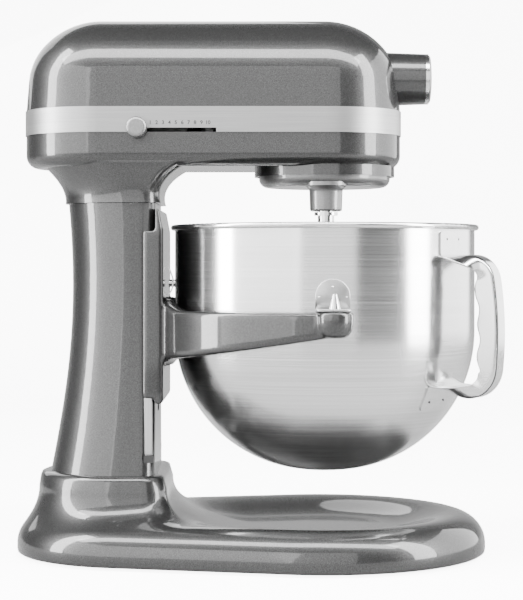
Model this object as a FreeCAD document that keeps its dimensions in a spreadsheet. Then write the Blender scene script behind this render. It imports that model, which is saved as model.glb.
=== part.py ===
import FreeCAD, Part
import math
import os
import re
import Sketcher
from FreeCAD import Placement, Rotation, Vector

# Bowl-lift stand mixer, in millimetres. +Z is up, +X runs from the column to the attachment hub,
# the floor is at Z = 0, and the bowl, the planetary head and every gear stand on the plane Y = 0.
os.makedirs("parts", exist_ok=True)
doc = FreeCAD.newDocument("StandMixer")
sheet = doc.addObject("Spreadsheet::Sheet", "Sizes")

SIZES = [
    ("bowl_x", 54, "bowl and planetary axis"),
    ("drive_z", 375, "height of the jackshaft, the bevel apex and the hub axis"),
    ("motor_z", 345, "height of the motor shaft"),
    ("floor_gap", 2, "base casting above the floor"),
    ("base_front_x", 52.5, "centre of the base's front round"),
    ("base_front_r", 128.5, "its radius"),
    ("base_rear_x", -90.4, "centre of the base's rear round"),
    ("base_rear_r", 99, "its radius"),
    ("rim_z", 32, "crest of the base rim"),
    ("base_round", 23, "rounding of the base's upper outer edge"),
    ("dish_z", 20, "floor of the shallow dish"),
    ("dish_inset", 33, "edge of the dish in from the base's edge"),
    ("base_wall", 7, "side wall of the base casting"),
    ("cover_plate", 1.2, "thickness of the bottom cover"),
    ("gland_y", 102.8, "outer face of the base where the cord gland sits"),
    ("foot_radius", 11, "rubber foot"),
    ("stem_radius", 4, "stem of a foot"),
    ("stem_length", 8, "stem of a foot"),
    ("foot_front_x", 158, "front foot"),
    ("foot_side_x", 97, "side feet"),
    ("foot_side_y", 96, "side feet"),
    ("foot_rear_x", -134, "rear feet"),
    ("foot_rear_y", 63, "rear feet"),
    ("boss_z", 66, "top of the base's column boss"),
    ("boss_rear", -171, "rear of the boss at its top"),
    ("boss_half", 65.5, "half width of the boss at its top"),
    ("boss_front", -70.5, "front of the boss at its top"),
    ("boss_flare_rear", 13, "how far the boss flares out backwards at its foot"),
    ("boss_flare_side", 16.5, "how far it flares out sideways"),
    ("boss_flare_front", 28.5, "how far it flares out forwards"),
    ("column_top_z", 275.2, "top of the column"),
    ("column_front", -78, "flat front of the column"),
    ("column_corner", 12, "front corners of the column"),
    ("foot_rear", -162.7, "rear of the column at its foot"),
    ("foot_half", 58, "half width of the column at its foot"),
    ("low_z", 94, "low section"),
    ("low_rear", -157.4, "rear of the low section"),
    ("low_half", 55, "half width of the low section"),
    ("waist_z", 136, "waist section"),
    ("waist_rear", -150.8, "rear of the waist section"),
    ("waist_half", 51.5, "half width of the waist section"),
    ("chest_z", 205, "upper section"),
    ("chest_rear", -145.8, "rear of the upper section"),
    ("chest_half", 49.5, "half width of the upper section"),
    ("column_top_rear", -148.8, "rear of the column at its top"),
    ("column_top_half", 52, "half width of the column at its top"),
    ("column_wall", 6, "wall of the column"),
    ("column_plate", 12, "end plates of the column"),
    ("wire_radius", 12, "wiring hole through the column's ends"),
    ("wire_x", -116, "wiring hole"),
    ("bolt_rear_x", -128, "rear column bolts"),
    ("bolt_rear_y", 24, "rear column bolts"),
    ("bolt_front_x", -95, "front column bolts"),
    ("bolt_front_y", 34, "front column bolts"),
    ("bolt_radius", 4, "column foot bolts, M8"),
    ("screw_radius", 3, "head screws, M6"),
    ("rail_rear", -86, "rear edge of a guide rail"),
    ("rail_width", 6.3, "guide rail along X"),
    ("rail_inner", 49, "inner face of a guide rail"),
    ("rail_thick", 5, "guide rail along Y"),
    ("rail_low", 81, "bottom of the rails"),
    ("rail_high", 270, "top of the rails"),
    ("stop_low", 76, "bottom of the rail stops"),
    ("head_half", 60, "half width of the head"),
    ("head_rear_x", -122.4, "centre of the head's rear round"),
    ("head_low", 303.5, "underside of the head"),
    ("head_floor", 309.5, "inner floor of the head"),
    ("band_low", 329, "lower edge of the trim band"),
    ("band_high", 348.5, "upper edge of the trim band"),
    ("band_proud", 0.8, "band stands out of the castings"),
    ("head_wall", 4, "wall of the head castings"),
    ("top_z", 420.7, "top of the head"),
    ("crown_radius", 62, "round top of the head"),
    ("shoulder_y", 46, "where the crown meets the shoulder"),
    ("shoulder_z", 400.3, "where the crown meets the shoulder"),
    ("shoulder_radius", 46.5, "shoulder between crown and side"),
    ("side_y", 58, "top of the leaning side"),
    ("side_z", 373, "top of the leaning side"),
    ("collar_z", 275.5, "bottom of the neck"),
    ("collar_rear", -151.4, "rear of the neck"),
    ("collar_half", 54.5, "half width of the neck"),
    ("collar_front", -73.8, "front of the neck"),
    ("gear_ring_seat", 53.5, "seat of the internal ring gear"),
    ("nose_radius", 55.5, "round nose round the planetary"),
    ("nose_z", 297, "bottom of the nose"),
    ("disc_radius", 52, "planetary disc"),
    ("disc_low", 288.7, "bottom of the planetary disc"),
    ("disc_high", 301, "top of the planetary disc"),
    ("orbit", 36, "beater axis from the bowl axis"),
    ("beater_boss_radius", 12.9, "boss under the planetary disc"),
    ("beater_boss_low", 269, "bottom of the boss"),
    ("beater_radius", 6.35, "beater shaft"),
    ("beater_low", 232, "free end of the beater shaft"),
    ("beater_high", 313.4, "top of the beater shaft"),
    ("planet_low", 303.6, "bottom of the planet pinion"),
    ("planet_high", 312.8, "top of the planet pinion"),
    ("centre_shaft_radius", 8, "centre shaft"),
    ("running_gap", 0.06, "radial clearance of a running fit"),
    ("hub_end", 133.3, "front of the hub barrel"),
    ("hub_root", 100, "where the barrel leaves the head"),
    ("hub_radius", 21.2, "hub barrel at its root"),
    ("hub_end_radius", 20, "hub barrel at its end"),
    ("hub_bore", 14, "bore of the hub"),
    ("hub_ring", 2.8, "silver ring on the hub's end"),
    ("hub_cap_thick", 2.8, "cap that closes the hub"),
    ("socket_side", 9.6, "square drive socket"),
    ("hub_shaft_radius", 9.5, "hub drive shaft"),
    ("knob_x", -90.8, "speed knob at rest"),
    ("knob_z", 332, "speed knob"),
    ("knob_radius", 7.8, "speed knob"),
    ("slot_end", -30.5, "front end of the speed slot"),
    ("slot_height", 3.2, "height of the speed slot"),
    ("wall_radius", 118.7, "outside of the bowl's straight wall"),
    ("bowl_steel", 1.2, "thickness of the bowl's sheet"),
    ("bowl_turn_z", 176, "where the wall turns into the round bottom"),
    ("bowl_round", 110.2, "radius of the round bottom"),
    ("bowl_rim_z", 256.8, "centre of the rolled rim"),
    ("bead_radius", 2.2, "rolled rim"),
    ("ear_x", 56, "centre of the bowl's ears"),
    ("ear_half", 12.8, "half width of an ear"),
    ("ear_low", 193.6, "underside of an ear's flange"),
    ("ear_high", 217.5, "top of an ear"),
    ("ear_reach", 23, "how far an ear's flange stands out"),
    ("pin_x", 57, "locating pins and arm tips"),
    ("pin_y", 132, "locating pins and arm tips"),
    ("pin_radius", 5, "root of a locating pin"),
    ("pin_tip_radius", 1.6, "tip of a locating pin"),
    ("pin_height", 13, "locating pin"),
    ("arm_inner", 124, "inner radius of the yoke arms"),
    ("arm_outer", 137, "outer radius of the yoke arms"),
    ("arm_top", 193.3, "top of the yoke arms"),
    ("arm_low_rear", 152.7, "bottom of the arms at the column"),
    ("arm_low_front", 174, "bottom of the arms at their tips"),
    ("tip_radius", 13.9, "round tip of an arm"),
    ("web_front", -71, "front of the yoke's web"),
    ("web_rear", -77.5, "rear of the yoke's web"),
    ("web_low", 121, "bottom of the web"),
    ("web_high", 271, "top of the web"),
    ("flange_rear", -86.7, "rear edge of the slide flanges"),
    ("flange_inner", 54.3, "inner face of the slide flanges"),
    ("flange_outer", 60, "outer face of the slide flanges"),
    ("flange_low", 125, "bottom of the slide flanges"),
    ("flange_high", 254, "top of the slide flanges"),
    ("latch_z", 213, "height of the bowl's rear latch pin"),
    ("latch_radius", 3, "rear latch pin"),
    ("lift_x", -114, "lift shaft"),
    ("lift_z", 160, "lift shaft"),
    ("lift_radius", 6, "lift shaft"),
    ("lever_inner", 57, "inner face of the lift lever"),
    ("lever_thick", 6, "lift lever"),
    ("lever_length", 78, "lift lever, shaft to end"),
    ("handle_width", 22, "width of the handle's channel"),
    ("handle_depth", 13, "depth of the handle's channel"),
    ("handle_sheet", 1.5, "handle steel"),
    ("handle_top", 236, "top of the handle loop"),
    ("handle_bottom", 127, "bottom of the handle loop"),
    ("handle_reach", 156.5, "outside of the handle from the bowl's axis"),
    ("can_radius", 34, "motor can"),
    ("can_rear", -128, "rear of the motor can"),
    ("can_front", -54, "front of the motor can"),
    ("rotor_radius", 22, "motor rotor"),
    ("motor_shaft_radius", 4, "motor shaft"),
    ("jack_radius", 5, "jackshaft"),
    ("spur_rear", -27, "rear face of the spur gears"),
    ("spur_width", 10, "width of the spur gears"),
    ("wall_rear", -40, "rear wall of the gearcase"),
    ("wall_front", -8, "front wall of the gearcase"),
    ("case_wall", 6, "walls of the gearcase"),
    ("case_low", 314, "underside of the gearcase plate"),
    ("case_plate", 4, "gearcase plate"),
    ("tower_top", 349, "top of the centre shaft's tower"),
    ("tower_radius", 16, "centre shaft's tower"),
]
NAMES = set()
for line, (alias, value, note) in enumerate(SIZES, start=1):
    sheet.set(f"A{line}", note)
    sheet.set(f"B{line}", str(value))
    sheet.setAlias(f"B{line}", alias)
    NAMES.add(alias)
doc.recompute()

# Gear data: teeth are counted, so these stay whole numbers.
RING_TEETH, PLANET_TEETH, PLANET_MODULE = 64, 16, 1.5
BEVEL_TEETH, BEVEL_PINION_TEETH, BEVEL_MODULE = 36, 12, 1.6
SPUR_TEETH, MOTOR_PINION_TEETH, SPUR_MODULE = 48, 12, 1.0
PRESSURE_ANGLE = math.radians(20)
ROTOR_SLOTS, COMMUTATOR_BARS, FAN_BLADES = 12, 16, 8
HANDLE_TURN = 36  # degrees from the front towards the near side

TURNED = {"x": Rotation(Vector(0, 1, 0), 90), "y": Rotation(Vector(1, 0, 0), -90), "z": Rotation()}
finished = []


# ---- small helpers: each binds a size to the sheet ----

def bound(words):
    """The same sum with the sheet's name in front of each of its sizes."""
    def with_sheet(word):
        return ("Sizes." if word.group() in NAMES else "") + word.group()

    return re.sub(r"[a-z][a-z_]+", with_sheet, str(words))


def number(words):
    """What a sum of sizes comes to."""
    return float(sheet.evalExpression(bound(words)))


def bind(thing, prop, words):
    thing.setExpression(prop, bound(words))


def finish(thing, label):
    """Marks a sub-part as complete; its label names its file."""
    thing.Label = label
    finished.append(thing)
    return thing


def rod(name, radius, length, at, along="z"):
    """Cylinder that starts at a point and runs along an axis."""
    piece = doc.addObject("Part::Cylinder", name)
    piece.Placement = Placement(Vector(), TURNED[along])
    bind(piece, "Radius", radius)
    bind(piece, "Height", length)
    place(piece, at)
    return piece


def cone(name, low_radius, high_radius, length, at, along="z"):
    piece = doc.addObject("Part::Cone", name)
    piece.Placement = Placement(Vector(), TURNED[along])
    bind(piece, "Radius1", low_radius)
    bind(piece, "Radius2", high_radius)
    bind(piece, "Height", length)
    place(piece, at)
    return piece


def block(name, corner, size):
    """Box from its lowest corner."""
    piece = doc.addObject("Part::Box", name)
    for prop, words in zip(("Length", "Width", "Height"), size):
        bind(piece, prop, words)
    place(piece, corner)
    return piece


def place(piece, at):
    for letter, words in zip("xyz", at):
        bind(piece, "Placement.Base." + letter, words)


def fuse(name, *pieces):
    joined = doc.addObject("Part::MultiFuse", name)
    joined.Shapes = list(pieces)
    return joined


def cut(name, base, *tools):
    whole = doc.addObject("Part::Cut", name)
    whole.Base = base
    whole.Tool = tools[0] if len(tools) == 1 else fuse(name + "_tools", *tools)
    return whole


def group(name, pieces):
    """Several like solids that share one node."""
    together = doc.addObject("Part::Compound", name)
    together.Links = pieces
    return together


def ring(name, inner, outer, length, at, along="z"):
    hole = rod(name + "_hole", inner, length, at, along)
    return cut(name, rod(name + "_out", outer, length, at, along), hole)


def new_body(name):
    return doc.addObject("PartDesign::Body", name + "_body")


def sketch(part, role, offset="0", across="0", up="0"):
    """Empty sketch on one of the body's own planes, moved along its normal and in its plane."""
    drawing = part.newObject("Sketcher::SketchObject", "Sketch")
    base_plane = [f for f in part.Origin.OriginFeatures if f.Role == role][0]
    drawing.AttachmentSupport = [(base_plane, "")]
    drawing.MapMode = "FlatFace"
    bind(drawing, "AttachmentOffset.Base.x", across)
    bind(drawing, "AttachmentOffset.Base.y", up)
    bind(drawing, "AttachmentOffset.Base.z", offset)
    return drawing


def hold(drawing, kind, where, words):
    """Adds one dimension and binds it to the sheet."""
    index = drawing.addConstraint(Sketcher.Constraint(kind, *where, number(words)))
    drawing.setExpression(f"Constraints[{index}]", bound(words))


def arc_between(start, stop, bend):
    """Arc of a signed radius from start to stop, and the numbers of its start and stop ends."""
    chord = stop - start
    left = Vector(-chord.y, chord.x, 0).normalize()
    rise = math.sqrt(max(bend * bend - chord.Length ** 2 / 4, 0))
    centre = (start + stop) * 0.5 + left * math.copysign(rise, bend)
    first, last = (start, stop) if bend > 0 else (stop, start)
    angles = [math.atan2(p.y - centre.y, p.x - centre.x) for p in (first, last)]
    curve = Part.ArcOfCircle(Part.Circle(centre, Vector(0, 0, 1), abs(bend)), *angles)
    return curve, ((1, 2) if bend > 0 else (2, 1))


def outline(drawing, corners):
    """Closed ring of lines and arcs. A corner is (across, up) or (across, up, bend): then the run
    that arrives there is an arc of that radius, which turns left where the radius is positive."""
    spots = [Vector(number(c[0]), number(c[1]), 0) for c in corners]
    runs = []
    for i, corner in enumerate(corners):
        if len(corner) == 3:
            curve, ends = arc_between(spots[i - 1], spots[i], number(corner[2]))
        else:
            curve, ends = Part.LineSegment(spots[i - 1], spots[i]), (1, 2)
        runs.append((drawing.addGeometry(curve, False), ends))
    for i, (index, ends) in enumerate(runs):
        following, following_ends = runs[(i + 1) % len(runs)]
        joined = Sketcher.Constraint("Coincident", index, ends[1], following, following_ends[0])
        drawing.addConstraint(joined)
    for (index, ends), corner in zip(runs, corners):
        hold(drawing, "DistanceX", (-1, 1, index, ends[1]), corner[0])
        hold(drawing, "DistanceY", (-1, 1, index, ends[1]), corner[1])
        if len(corner) == 3:
            hold(drawing, "Radius", (index,), f"abs({corner[2]})")


def rectangle(drawing, low_across, low_up, high_across, high_up):
    low_corners = [(low_across, low_up), (high_across, low_up)]
    outline(drawing, low_corners + [(high_across, high_up), (low_across, high_up)])


def circle(drawing, across, up, radius):
    curve = Part.Circle(Vector(number(across), number(up), 0), Vector(0, 0, 1), number(radius))
    index = drawing.addGeometry(curve, False)
    hold(drawing, "DistanceX", (-1, 1, index, 3), across)
    hold(drawing, "DistanceY", (-1, 1, index, 3), up)
    hold(drawing, "Radius", (index,), radius)


def two_ends(drawing, front_x, front_radius, rear_x, rear_radius):
    """Plan with a round front end and a round rear end, joined by tangent lines."""
    front, rear = Vector(number(front_x), 0, 0), Vector(number(rear_x), 0, 0)
    lean = math.asin((number(front_radius) - number(rear_radius)) / (front.x - rear.x))
    turn = math.pi / 2 + lean
    normal = Vector(0, 0, 1)
    front_curve = Part.ArcOfCircle(Part.Circle(front, normal, number(front_radius)), -turn, turn)
    rear_curve = Part.ArcOfCircle(Part.Circle(rear, normal, number(rear_radius)), turn, 2 * math.pi - turn)
    runs = [
        drawing.addGeometry(front_curve, False),
        drawing.addGeometry(Part.LineSegment(front_curve.EndPoint, rear_curve.StartPoint), False),
        drawing.addGeometry(rear_curve, False),
        drawing.addGeometry(Part.LineSegment(rear_curve.EndPoint, front_curve.StartPoint), False),
    ]
    for i, index in enumerate(runs):
        drawing.addConstraint(Sketcher.Constraint("Tangent", index, 2, runs[(i + 1) % 4], 1))
    for index, centre_x, radius in ((runs[0], front_x, front_radius), (runs[2], rear_x, rear_radius)):
        drawing.addConstraint(Sketcher.Constraint("PointOnObject", index, 3, -1))
        hold(drawing, "DistanceX", (-1, 1, index, 3), centre_x)
        hold(drawing, "Radius", (index,), radius)


def pad(part, drawing, length, both_ways=False, backward=False):
    feature = part.newObject("PartDesign::Pad", "Pad")
    feature.Profile = drawing
    feature.SideType = "Symmetric" if both_ways else "One side"
    feature.Reversed = backward
    bind(feature, "Length", length)
    return feature


def pocket(part, drawing, depth, both_ways=False, backward=False):
    """Cuts against the sketch's normal, or along it where backward is set."""
    feature = part.newObject("PartDesign::Pocket", "Pocket")
    feature.Profile = drawing
    feature.SideType = "Symmetric" if both_ways else "One side"
    feature.Reversed = backward
    bind(feature, "Length", depth)
    return feature


def turn(part, drawing, axis="V_Axis", kind="Revolution", angle=360, middle=False):
    feature = part.newObject("PartDesign::" + kind, kind)
    feature.Profile = drawing
    feature.ReferenceAxis = (drawing, [axis])
    feature.Angle = angle
    feature.Midplane = middle
    return feature


def loft(part, sections, kind="AdditiveLoft"):
    feature = part.newObject("PartDesign::" + kind, kind)
    feature.Profile = sections[0]
    feature.Sections = sections[1:]
    return feature


def fillet(part, radius, wanted):
    """Rounds the edges of the body's last feature that a test picks out."""
    doc.recompute()
    base = part.Tip
    picked = [f"Edge{i}" for i, edge in enumerate(base.Shape.Edges, start=1) if wanted(edge.BoundBox)]
    feature = part.newObject("PartDesign::Fillet", "Fillet")
    feature.Base = (base, picked)
    bind(feature, "Radius", radius)
    return feature


def at_height(box, height):
    return abs(box.ZMin - height) < 0.01 and abs(box.ZMax - height) < 0.01


def polar_pattern(part, feature, axis_role, count):
    pattern = part.newObject("PartDesign::PolarPattern", "PolarPattern")
    pattern.Originals = [feature]
    axis = [f for f in part.Origin.OriginFeatures if f.Role == axis_role][0]
    pattern.Axis = (axis, [""])
    pattern.Angle = 360
    pattern.Occurrences = count
    part.Tip = pattern
    return pattern


def column_section(part, height, rear, half, front="column_front", corner="column_corner", inset="0"):
    """Level section of the column: a flat front with round corners and a half-round back."""
    drawing = sketch(part, "XY_Plane", height)
    side = f"({half} - ({inset}))"
    back = f"({rear} + {inset})"
    nose = f"({front} - ({inset}))"
    outline(drawing, [
        (nose, f"{side} - {corner}"),
        (f"{nose} - {corner}", side, corner),
        (f"{back} + {side}", side),
        (back, "0", side),
        (f"{back} + {side}", f"-{side}", side),
        (f"{nose} - {corner}", f"-{side}"),
        (nose, f"{corner} - {side}", corner),
    ])
    return drawing


def bolt_spots():
    """The four bolts at each end of the column."""
    return [(x, sign + y) for x, y in (("bolt_rear_x", "bolt_rear_y"), ("bolt_front_x", "bolt_front_y"))
            for sign in ("", "-")]


def foot_spots():
    return [("foot_front_x", "0"), ("foot_side_x", "foot_side_y"), ("foot_side_x", "-foot_side_y"),
            ("foot_rear_x", "foot_rear_y"), ("foot_rear_x", "-foot_rear_y")]


def tooth_wire(teeth, pitch, outward, inward, share, first=0.0, lean=math.tan(PRESSURE_ANGLE)):
    """Straight-sided teeth round the Z axis. share is a tooth's part of its half pitch, and lean
    its flanks' slope."""
    step = 2 * math.pi / teeth
    half = step / 4 * share
    tip = half - outward * lean / pitch
    root = half + inward * lean / pitch
    points = []
    for i in range(teeth):
        middle = first + i * step
        for radius, angle in ((pitch - inward, -root), (pitch + outward, -tip),
                              (pitch + outward, tip), (pitch - inward, root)):
            points.append(Vector(radius * math.cos(middle + angle), radius * math.sin(middle + angle), 0))
    return Part.makePolygon(points + points[:1])


def spur_solid(teeth, module, width, bore, first=0.0, share=0.86):
    """Spur gear from Z = 0 to its width, with a bore."""
    wire = tooth_wire(teeth, teeth * module / 2, 0.9 * module, 1.2 * module, share, first)
    blank = Part.Face(wire).extrude(Vector(0, 0, width))
    return blank.cut(Part.makeCylinder(bore, width))


def bevel_solid(teeth, mate, module, bore, hub_radius, hub_length, first=0.0):
    """Bevel gear on the Z axis with its apex at the origin and its large end below it."""
    slope = math.atan2(teeth, mate)
    pitch = teeth * module / 2
    depth = mate * module / 2
    inner = 0.66
    flat = module / math.cos(slope)
    lean = math.tan(PRESSURE_ANGLE) * math.cos(slope)
    wire = tooth_wire(teeth, pitch, 0.8 * flat, 1.1 * flat, 0.8, first, lean)
    small = wire.scaled(inner)
    wire.translate(Vector(0, 0, -depth))
    small.translate(Vector(0, 0, -depth * inner))
    toothed = Part.makeLoft([wire, small], True, True)
    hub = Part.makeCylinder(hub_radius, hub_length, Vector(0, 0, -depth - hub_length))
    hole = Part.makeCylinder(bore, hub_length + depth, Vector(0, 0, -depth - hub_length))
    return toothed.fuse(hub).cut(hole)


def shaped(name, solid, placement):
    """Sub-part whose shape is worked out directly."""
    piece = doc.addObject("Part::Feature", name + "_shape")
    piece.Shape = solid
    piece.Placement = placement
    return finish(piece, name)


# ---- base ----

def base_casting():
    """Oval foot: a hollow casting with a rounded rim, a shallow dish on top and a raised boss."""
    part = new_body("base_casting")
    plan = sketch(part, "XY_Plane", "floor_gap")
    two_ends(plan, "base_front_x", "base_front_r", "base_rear_x", "base_rear_r")
    pad(part, plan, "rim_z - floor_gap")
    fillet(part, "base_round", lambda box: at_height(box, number("rim_z")))
    dish = sketch(part, "XY_Plane", "rim_z")
    two_ends(dish, "base_front_x", "base_front_r - dish_inset", "base_rear_x", "base_rear_r - dish_inset")
    pocket(part, dish, "rim_z - dish_z")
    widest = number("base_front_r - (dish_inset + base_round) / 2")
    fillet(part, "6", lambda box: at_height(box, number("rim_z")) and box.YMax < widest)
    hollow = sketch(part, "XY_Plane", "floor_gap")
    two_ends(hollow, "base_front_x", "base_front_r - base_wall", "base_rear_x", "base_rear_r - base_wall")
    pocket(part, hollow, "12", backward=True)
    pillars = sketch(part, "XY_Plane", "floor_gap + cover_plate")
    for x, y in foot_spots():
        circle(pillars, x, y, "foot_radius + 2")
    pad(part, pillars, "12")
    flare = [("dish_z - 4", 1, 1, 30), ("rim_z - 1", 0.7, 0.52, 26), ("rim_z + 11", 0.27, 0.21, 22),
             ("rim_z + 23", 0.1, 0.06, 19), ("boss_z", 0, 0, 18)]
    levels = [
        (z, f"boss_rear - boss_flare_rear * {back}", f"boss_half + boss_flare_side * {side}",
         f"boss_front + boss_flare_front * {(back + side) / 2}", corner)
        for z, back, side, corner in flare
    ]
    loft(part, [column_section(part, *level) for level in levels])
    fillet(part, "4", lambda box: at_height(box, number("boss_z")))
    core = column_section(part, "dish_z - 7", "foot_rear", "foot_half", inset="column_wall")
    pocket(part, core, "boss_z - column_plate - dish_z + 7", backward=True)
    holes = sketch(part, "XY_Plane", "boss_z")
    for x, y in bolt_spots():
        circle(holes, x, y, "bolt_radius")
    circle(holes, "wire_x", "0", "wire_radius")
    pocket(part, holes, "column_plate + 1")
    stems = sketch(part, "XY_Plane", "floor_gap + cover_plate")
    for x, y in foot_spots():
        circle(stems, x, y, "stem_radius")
    pocket(part, stems, "stem_length - cover_plate", backward=True)
    cable = sketch(part, "XZ_Plane", "-gland_y - 6", across="base_rear_x")
    circle(cable, "0", "10", "5")
    pocket(part, cable, "30", backward=True)
    return finish(part, "base_casting")


def base_bottom_cover():
    """Thin plate that closes the underside of the base."""
    part = new_body("base_bottom_cover")
    plan = sketch(part, "XY_Plane", "floor_gap")
    inset = "base_wall - 0.3"
    two_ends(plan, "base_front_x", f"base_front_r - {inset}", "base_rear_x", f"base_rear_r - {inset}")
    pad(part, plan, "cover_plate")
    holes = sketch(part, "XY_Plane", "floor_gap + cover_plate")
    for x, y in foot_spots():
        circle(holes, x, y, "stem_radius")
    pocket(part, holes, "cover_plate + 1")
    return finish(part, "base_bottom_cover")


def base_feet():
    """Five rubber feet, each with a stem pressed into the base."""
    feet = []
    for x, y in foot_spots():
        sole = rod("foot_sole", "foot_radius", "floor_gap", (x, y, "0"))
        stem = rod("foot_stem", "stem_radius", "stem_length", (x, y, "floor_gap"))
        feet.append(fuse("foot", sole, stem))
    return finish(group("feet", feet), "base_feet")


def cord_gland():
    """Rubber gland in the side of the base, where the mains lead leaves."""
    at = ("base_rear_x", "gland_y - 14", "10")
    sleeve = rod("gland_sleeve", "5", "14", at, "y")
    lip = rod("gland_lip", "7", "2", ("base_rear_x", "gland_y", "10"), "y")
    hole = rod("gland_hole", "3.2", "20", at, "y")
    return finish(cut("gland", fuse("gland_blank", sleeve, lip), hole), "cord_gland")


def column_bolts():
    """Four hexagon bolts that hold the column down on the base."""
    bolts = []
    for x, y in bolt_spots():
        low = "boss_z - column_plate"
        head = doc.addObject("Part::Prism", "bolt_head")
        head.Polygon = 6
        bind(head, "Circumradius", "bolt_radius * 1.85")
        bind(head, "Height", "5.3")
        place(head, (x, y, low + " - 5.3"))
        shank = rod("bolt_shank", "bolt_radius", "column_plate * 2 - 1", (x, y, low))
        bolts.append(fuse("bolt", head, shank))
    return finish(group("bolts", bolts), "column_bolts")


# ---- column ----

def column_casting():
    """Hollow upright, wider at its foot, with rebates for the guide rails and a slot for the lift crank."""
    part = new_body("column_casting")
    levels = [("boss_z", "foot_rear", "foot_half"), ("low_z", "low_rear", "low_half"),
              ("waist_z", "waist_rear", "waist_half"), ("chest_z", "chest_rear", "chest_half"),
              ("column_top_z", "column_top_rear", "column_top_half")]
    loft(part, [column_section(part, *level) for level in levels])
    core_levels = [("boss_z + column_plate", "foot_rear + 2", "foot_half - 2"),
                   ("low_z", "low_rear", "low_half"), ("waist_z", "chest_rear", "chest_half")]
    cores = [column_section(part, *level, corner="6", inset="column_wall") for level in core_levels]
    loft(part, cores, "SubtractiveLoft")
    straight_core = column_section(part, *core_levels[-1], corner="6", inset="column_wall")
    pocket(part, straight_core, "column_top_z - column_plate - waist_z", backward=True)
    rebates = sketch(part, "XY_Plane", "column_top_z")
    rebate_rear = "flange_rear - 0.5"
    rectangle(rebates, rebate_rear, "rail_inner", "column_front + 5", "foot_half + 20")
    rectangle(rebates, rebate_rear, "-foot_half - 20", "column_front + 5", "-rail_inner")
    pocket(part, rebates, "column_top_z - stop_low")
    low_holes = sketch(part, "XY_Plane", "boss_z")
    high_holes = sketch(part, "XY_Plane", "column_top_z")
    for x, y in bolt_spots():
        circle(low_holes, x, y, "bolt_radius")
        circle(high_holes, x, y, "screw_radius")
    circle(low_holes, "wire_x", "0", "wire_radius")
    circle(high_holes, "wire_x", "0", "wire_radius")
    pocket(part, low_holes, "column_plate + 1", backward=True)
    pocket(part, high_holes, "column_plate + 1")
    bore = sketch(part, "XZ_Plane", "-foot_half - 12")
    circle(bore, "lift_x", "lift_z", "lift_radius + 4")
    pocket(part, bore, "48", backward=True)
    slot = sketch(part, "YZ_Plane", "column_front + 1")
    rectangle(slot, "-9", "112", "9", "240")
    pocket(part, slot, "column_wall + 6")
    return finish(part, "column_casting")


def guide_rails():
    """Two steel strips on the column's flanks that the yoke slides on."""
    rails = [
        block("rail", ("rail_rear", y, "rail_low"), ("rail_width", "rail_thick", "rail_high - rail_low"))
        for y in ("rail_inner", "-rail_inner - rail_thick")
    ]
    return finish(group("rails", rails), "guide_rails")


def rail_stops():
    """Blocks that close the lower ends of the rails."""
    stops = [
        block("stop", ("rail_rear", y, "stop_low"),
              ("rail_width + 1.2", "rail_thick + 2", "rail_low - stop_low"))
        for y in ("rail_inner", "-rail_inner - rail_thick - 2")
    ]
    return finish(group("stops", stops), "rail_stops")


def head_screws():
    """Four cap screws that hold the head down on the column."""
    screws = []
    for x, y in bolt_spots():
        head = rod("screw_head", "screw_radius + 2", "6", (x, y, "collar_z + 10"))
        shank = rod("screw_shank", "screw_radius", "20", (x, y, "collar_z - 10"))
        screws.append(fuse("screw", head, shank))
    return finish(group("screws", screws), "head_screws")


# ---- head castings ----

def head_lower_housing():
    """Lower half of the head, with its neck on the column and a round nose over the planetary."""
    part = new_body("head_lower_housing")
    plan = sketch(part, "XY_Plane", "head_low")
    two_ends(plan, "bowl_x", "head_half", "head_rear_x", "head_half")
    pad(part, plan, "band_low - head_low")
    fillet(part, "10", lambda box: at_height(box, number("head_low")))
    levels = [
        ("collar_z", "collar_rear", "collar_half", "collar_front", "15"),
        ("287", "collar_rear - 2.2", "collar_half", "collar_front", "15"),
        ("296", "collar_rear - 8", "collar_half + 1.5", "collar_front + 6", "15"),
        ("head_low + 4", "collar_rear - 19", "collar_half + 3.5", "collar_front + 26", "15"),
    ]
    loft(part, [column_section(part, *level) for level in levels])
    nose = sketch(part, "XY_Plane", "nose_z")
    circle(nose, "bowl_x", "0", "nose_radius")
    pad(part, nose, "head_floor - nose_z")
    cavity = sketch(part, "XY_Plane", "band_low")
    two_ends(cavity, "bowl_x", "head_half - head_wall", "head_rear_x", "head_half - head_wall")
    pocket(part, cavity, "band_low - head_floor")
    core = column_section(part, "head_floor + 1", "collar_rear", "collar_half", "collar_front", inset="8")
    pocket(part, core, "head_floor + 1 - collar_z - 10")
    disc_hole = sketch(part, "XY_Plane", "head_floor + 1")
    circle(disc_hole, "bowl_x", "0", "disc_radius + 0.8")
    pocket(part, disc_hole, "head_floor + 2 - nose_z")
    seat = sketch(part, "XY_Plane", "head_floor + 1")
    circle(seat, "bowl_x", "0", "gear_ring_seat")
    pocket(part, seat, "head_floor + 1 - head_low")
    holes = sketch(part, "XY_Plane", "collar_z + 11")
    for x, y in bolt_spots():
        circle(holes, x, y, "screw_radius")
    circle(holes, "wire_x", "0", "wire_radius")
    pocket(part, holes, "12")
    return finish(part, "head_lower_housing")


def trim_band():
    """Metal band between the two head castings, with the slot of the speed lever along its lower edge."""
    part = new_body("trim_band")
    plan = sketch(part, "XY_Plane", "band_low")
    two_ends(plan, "bowl_x", "head_half + band_proud", "head_rear_x", "head_half + band_proud")
    pad(part, plan, "band_high - band_low")
    hole = sketch(part, "XY_Plane", "band_high")
    two_ends(hole, "bowl_x", "head_half - head_wall", "head_rear_x", "head_half - head_wall")
    pocket(part, hole, "band_high - band_low + 1")
    slot = sketch(part, "XY_Plane", "band_low")
    rectangle(slot, "knob_x - 4.5", "-head_half - 10", "slot_end", "-head_half + 10")
    pocket(part, slot, "slot_height", backward=True)
    return finish(part, "trim_band")


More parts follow.
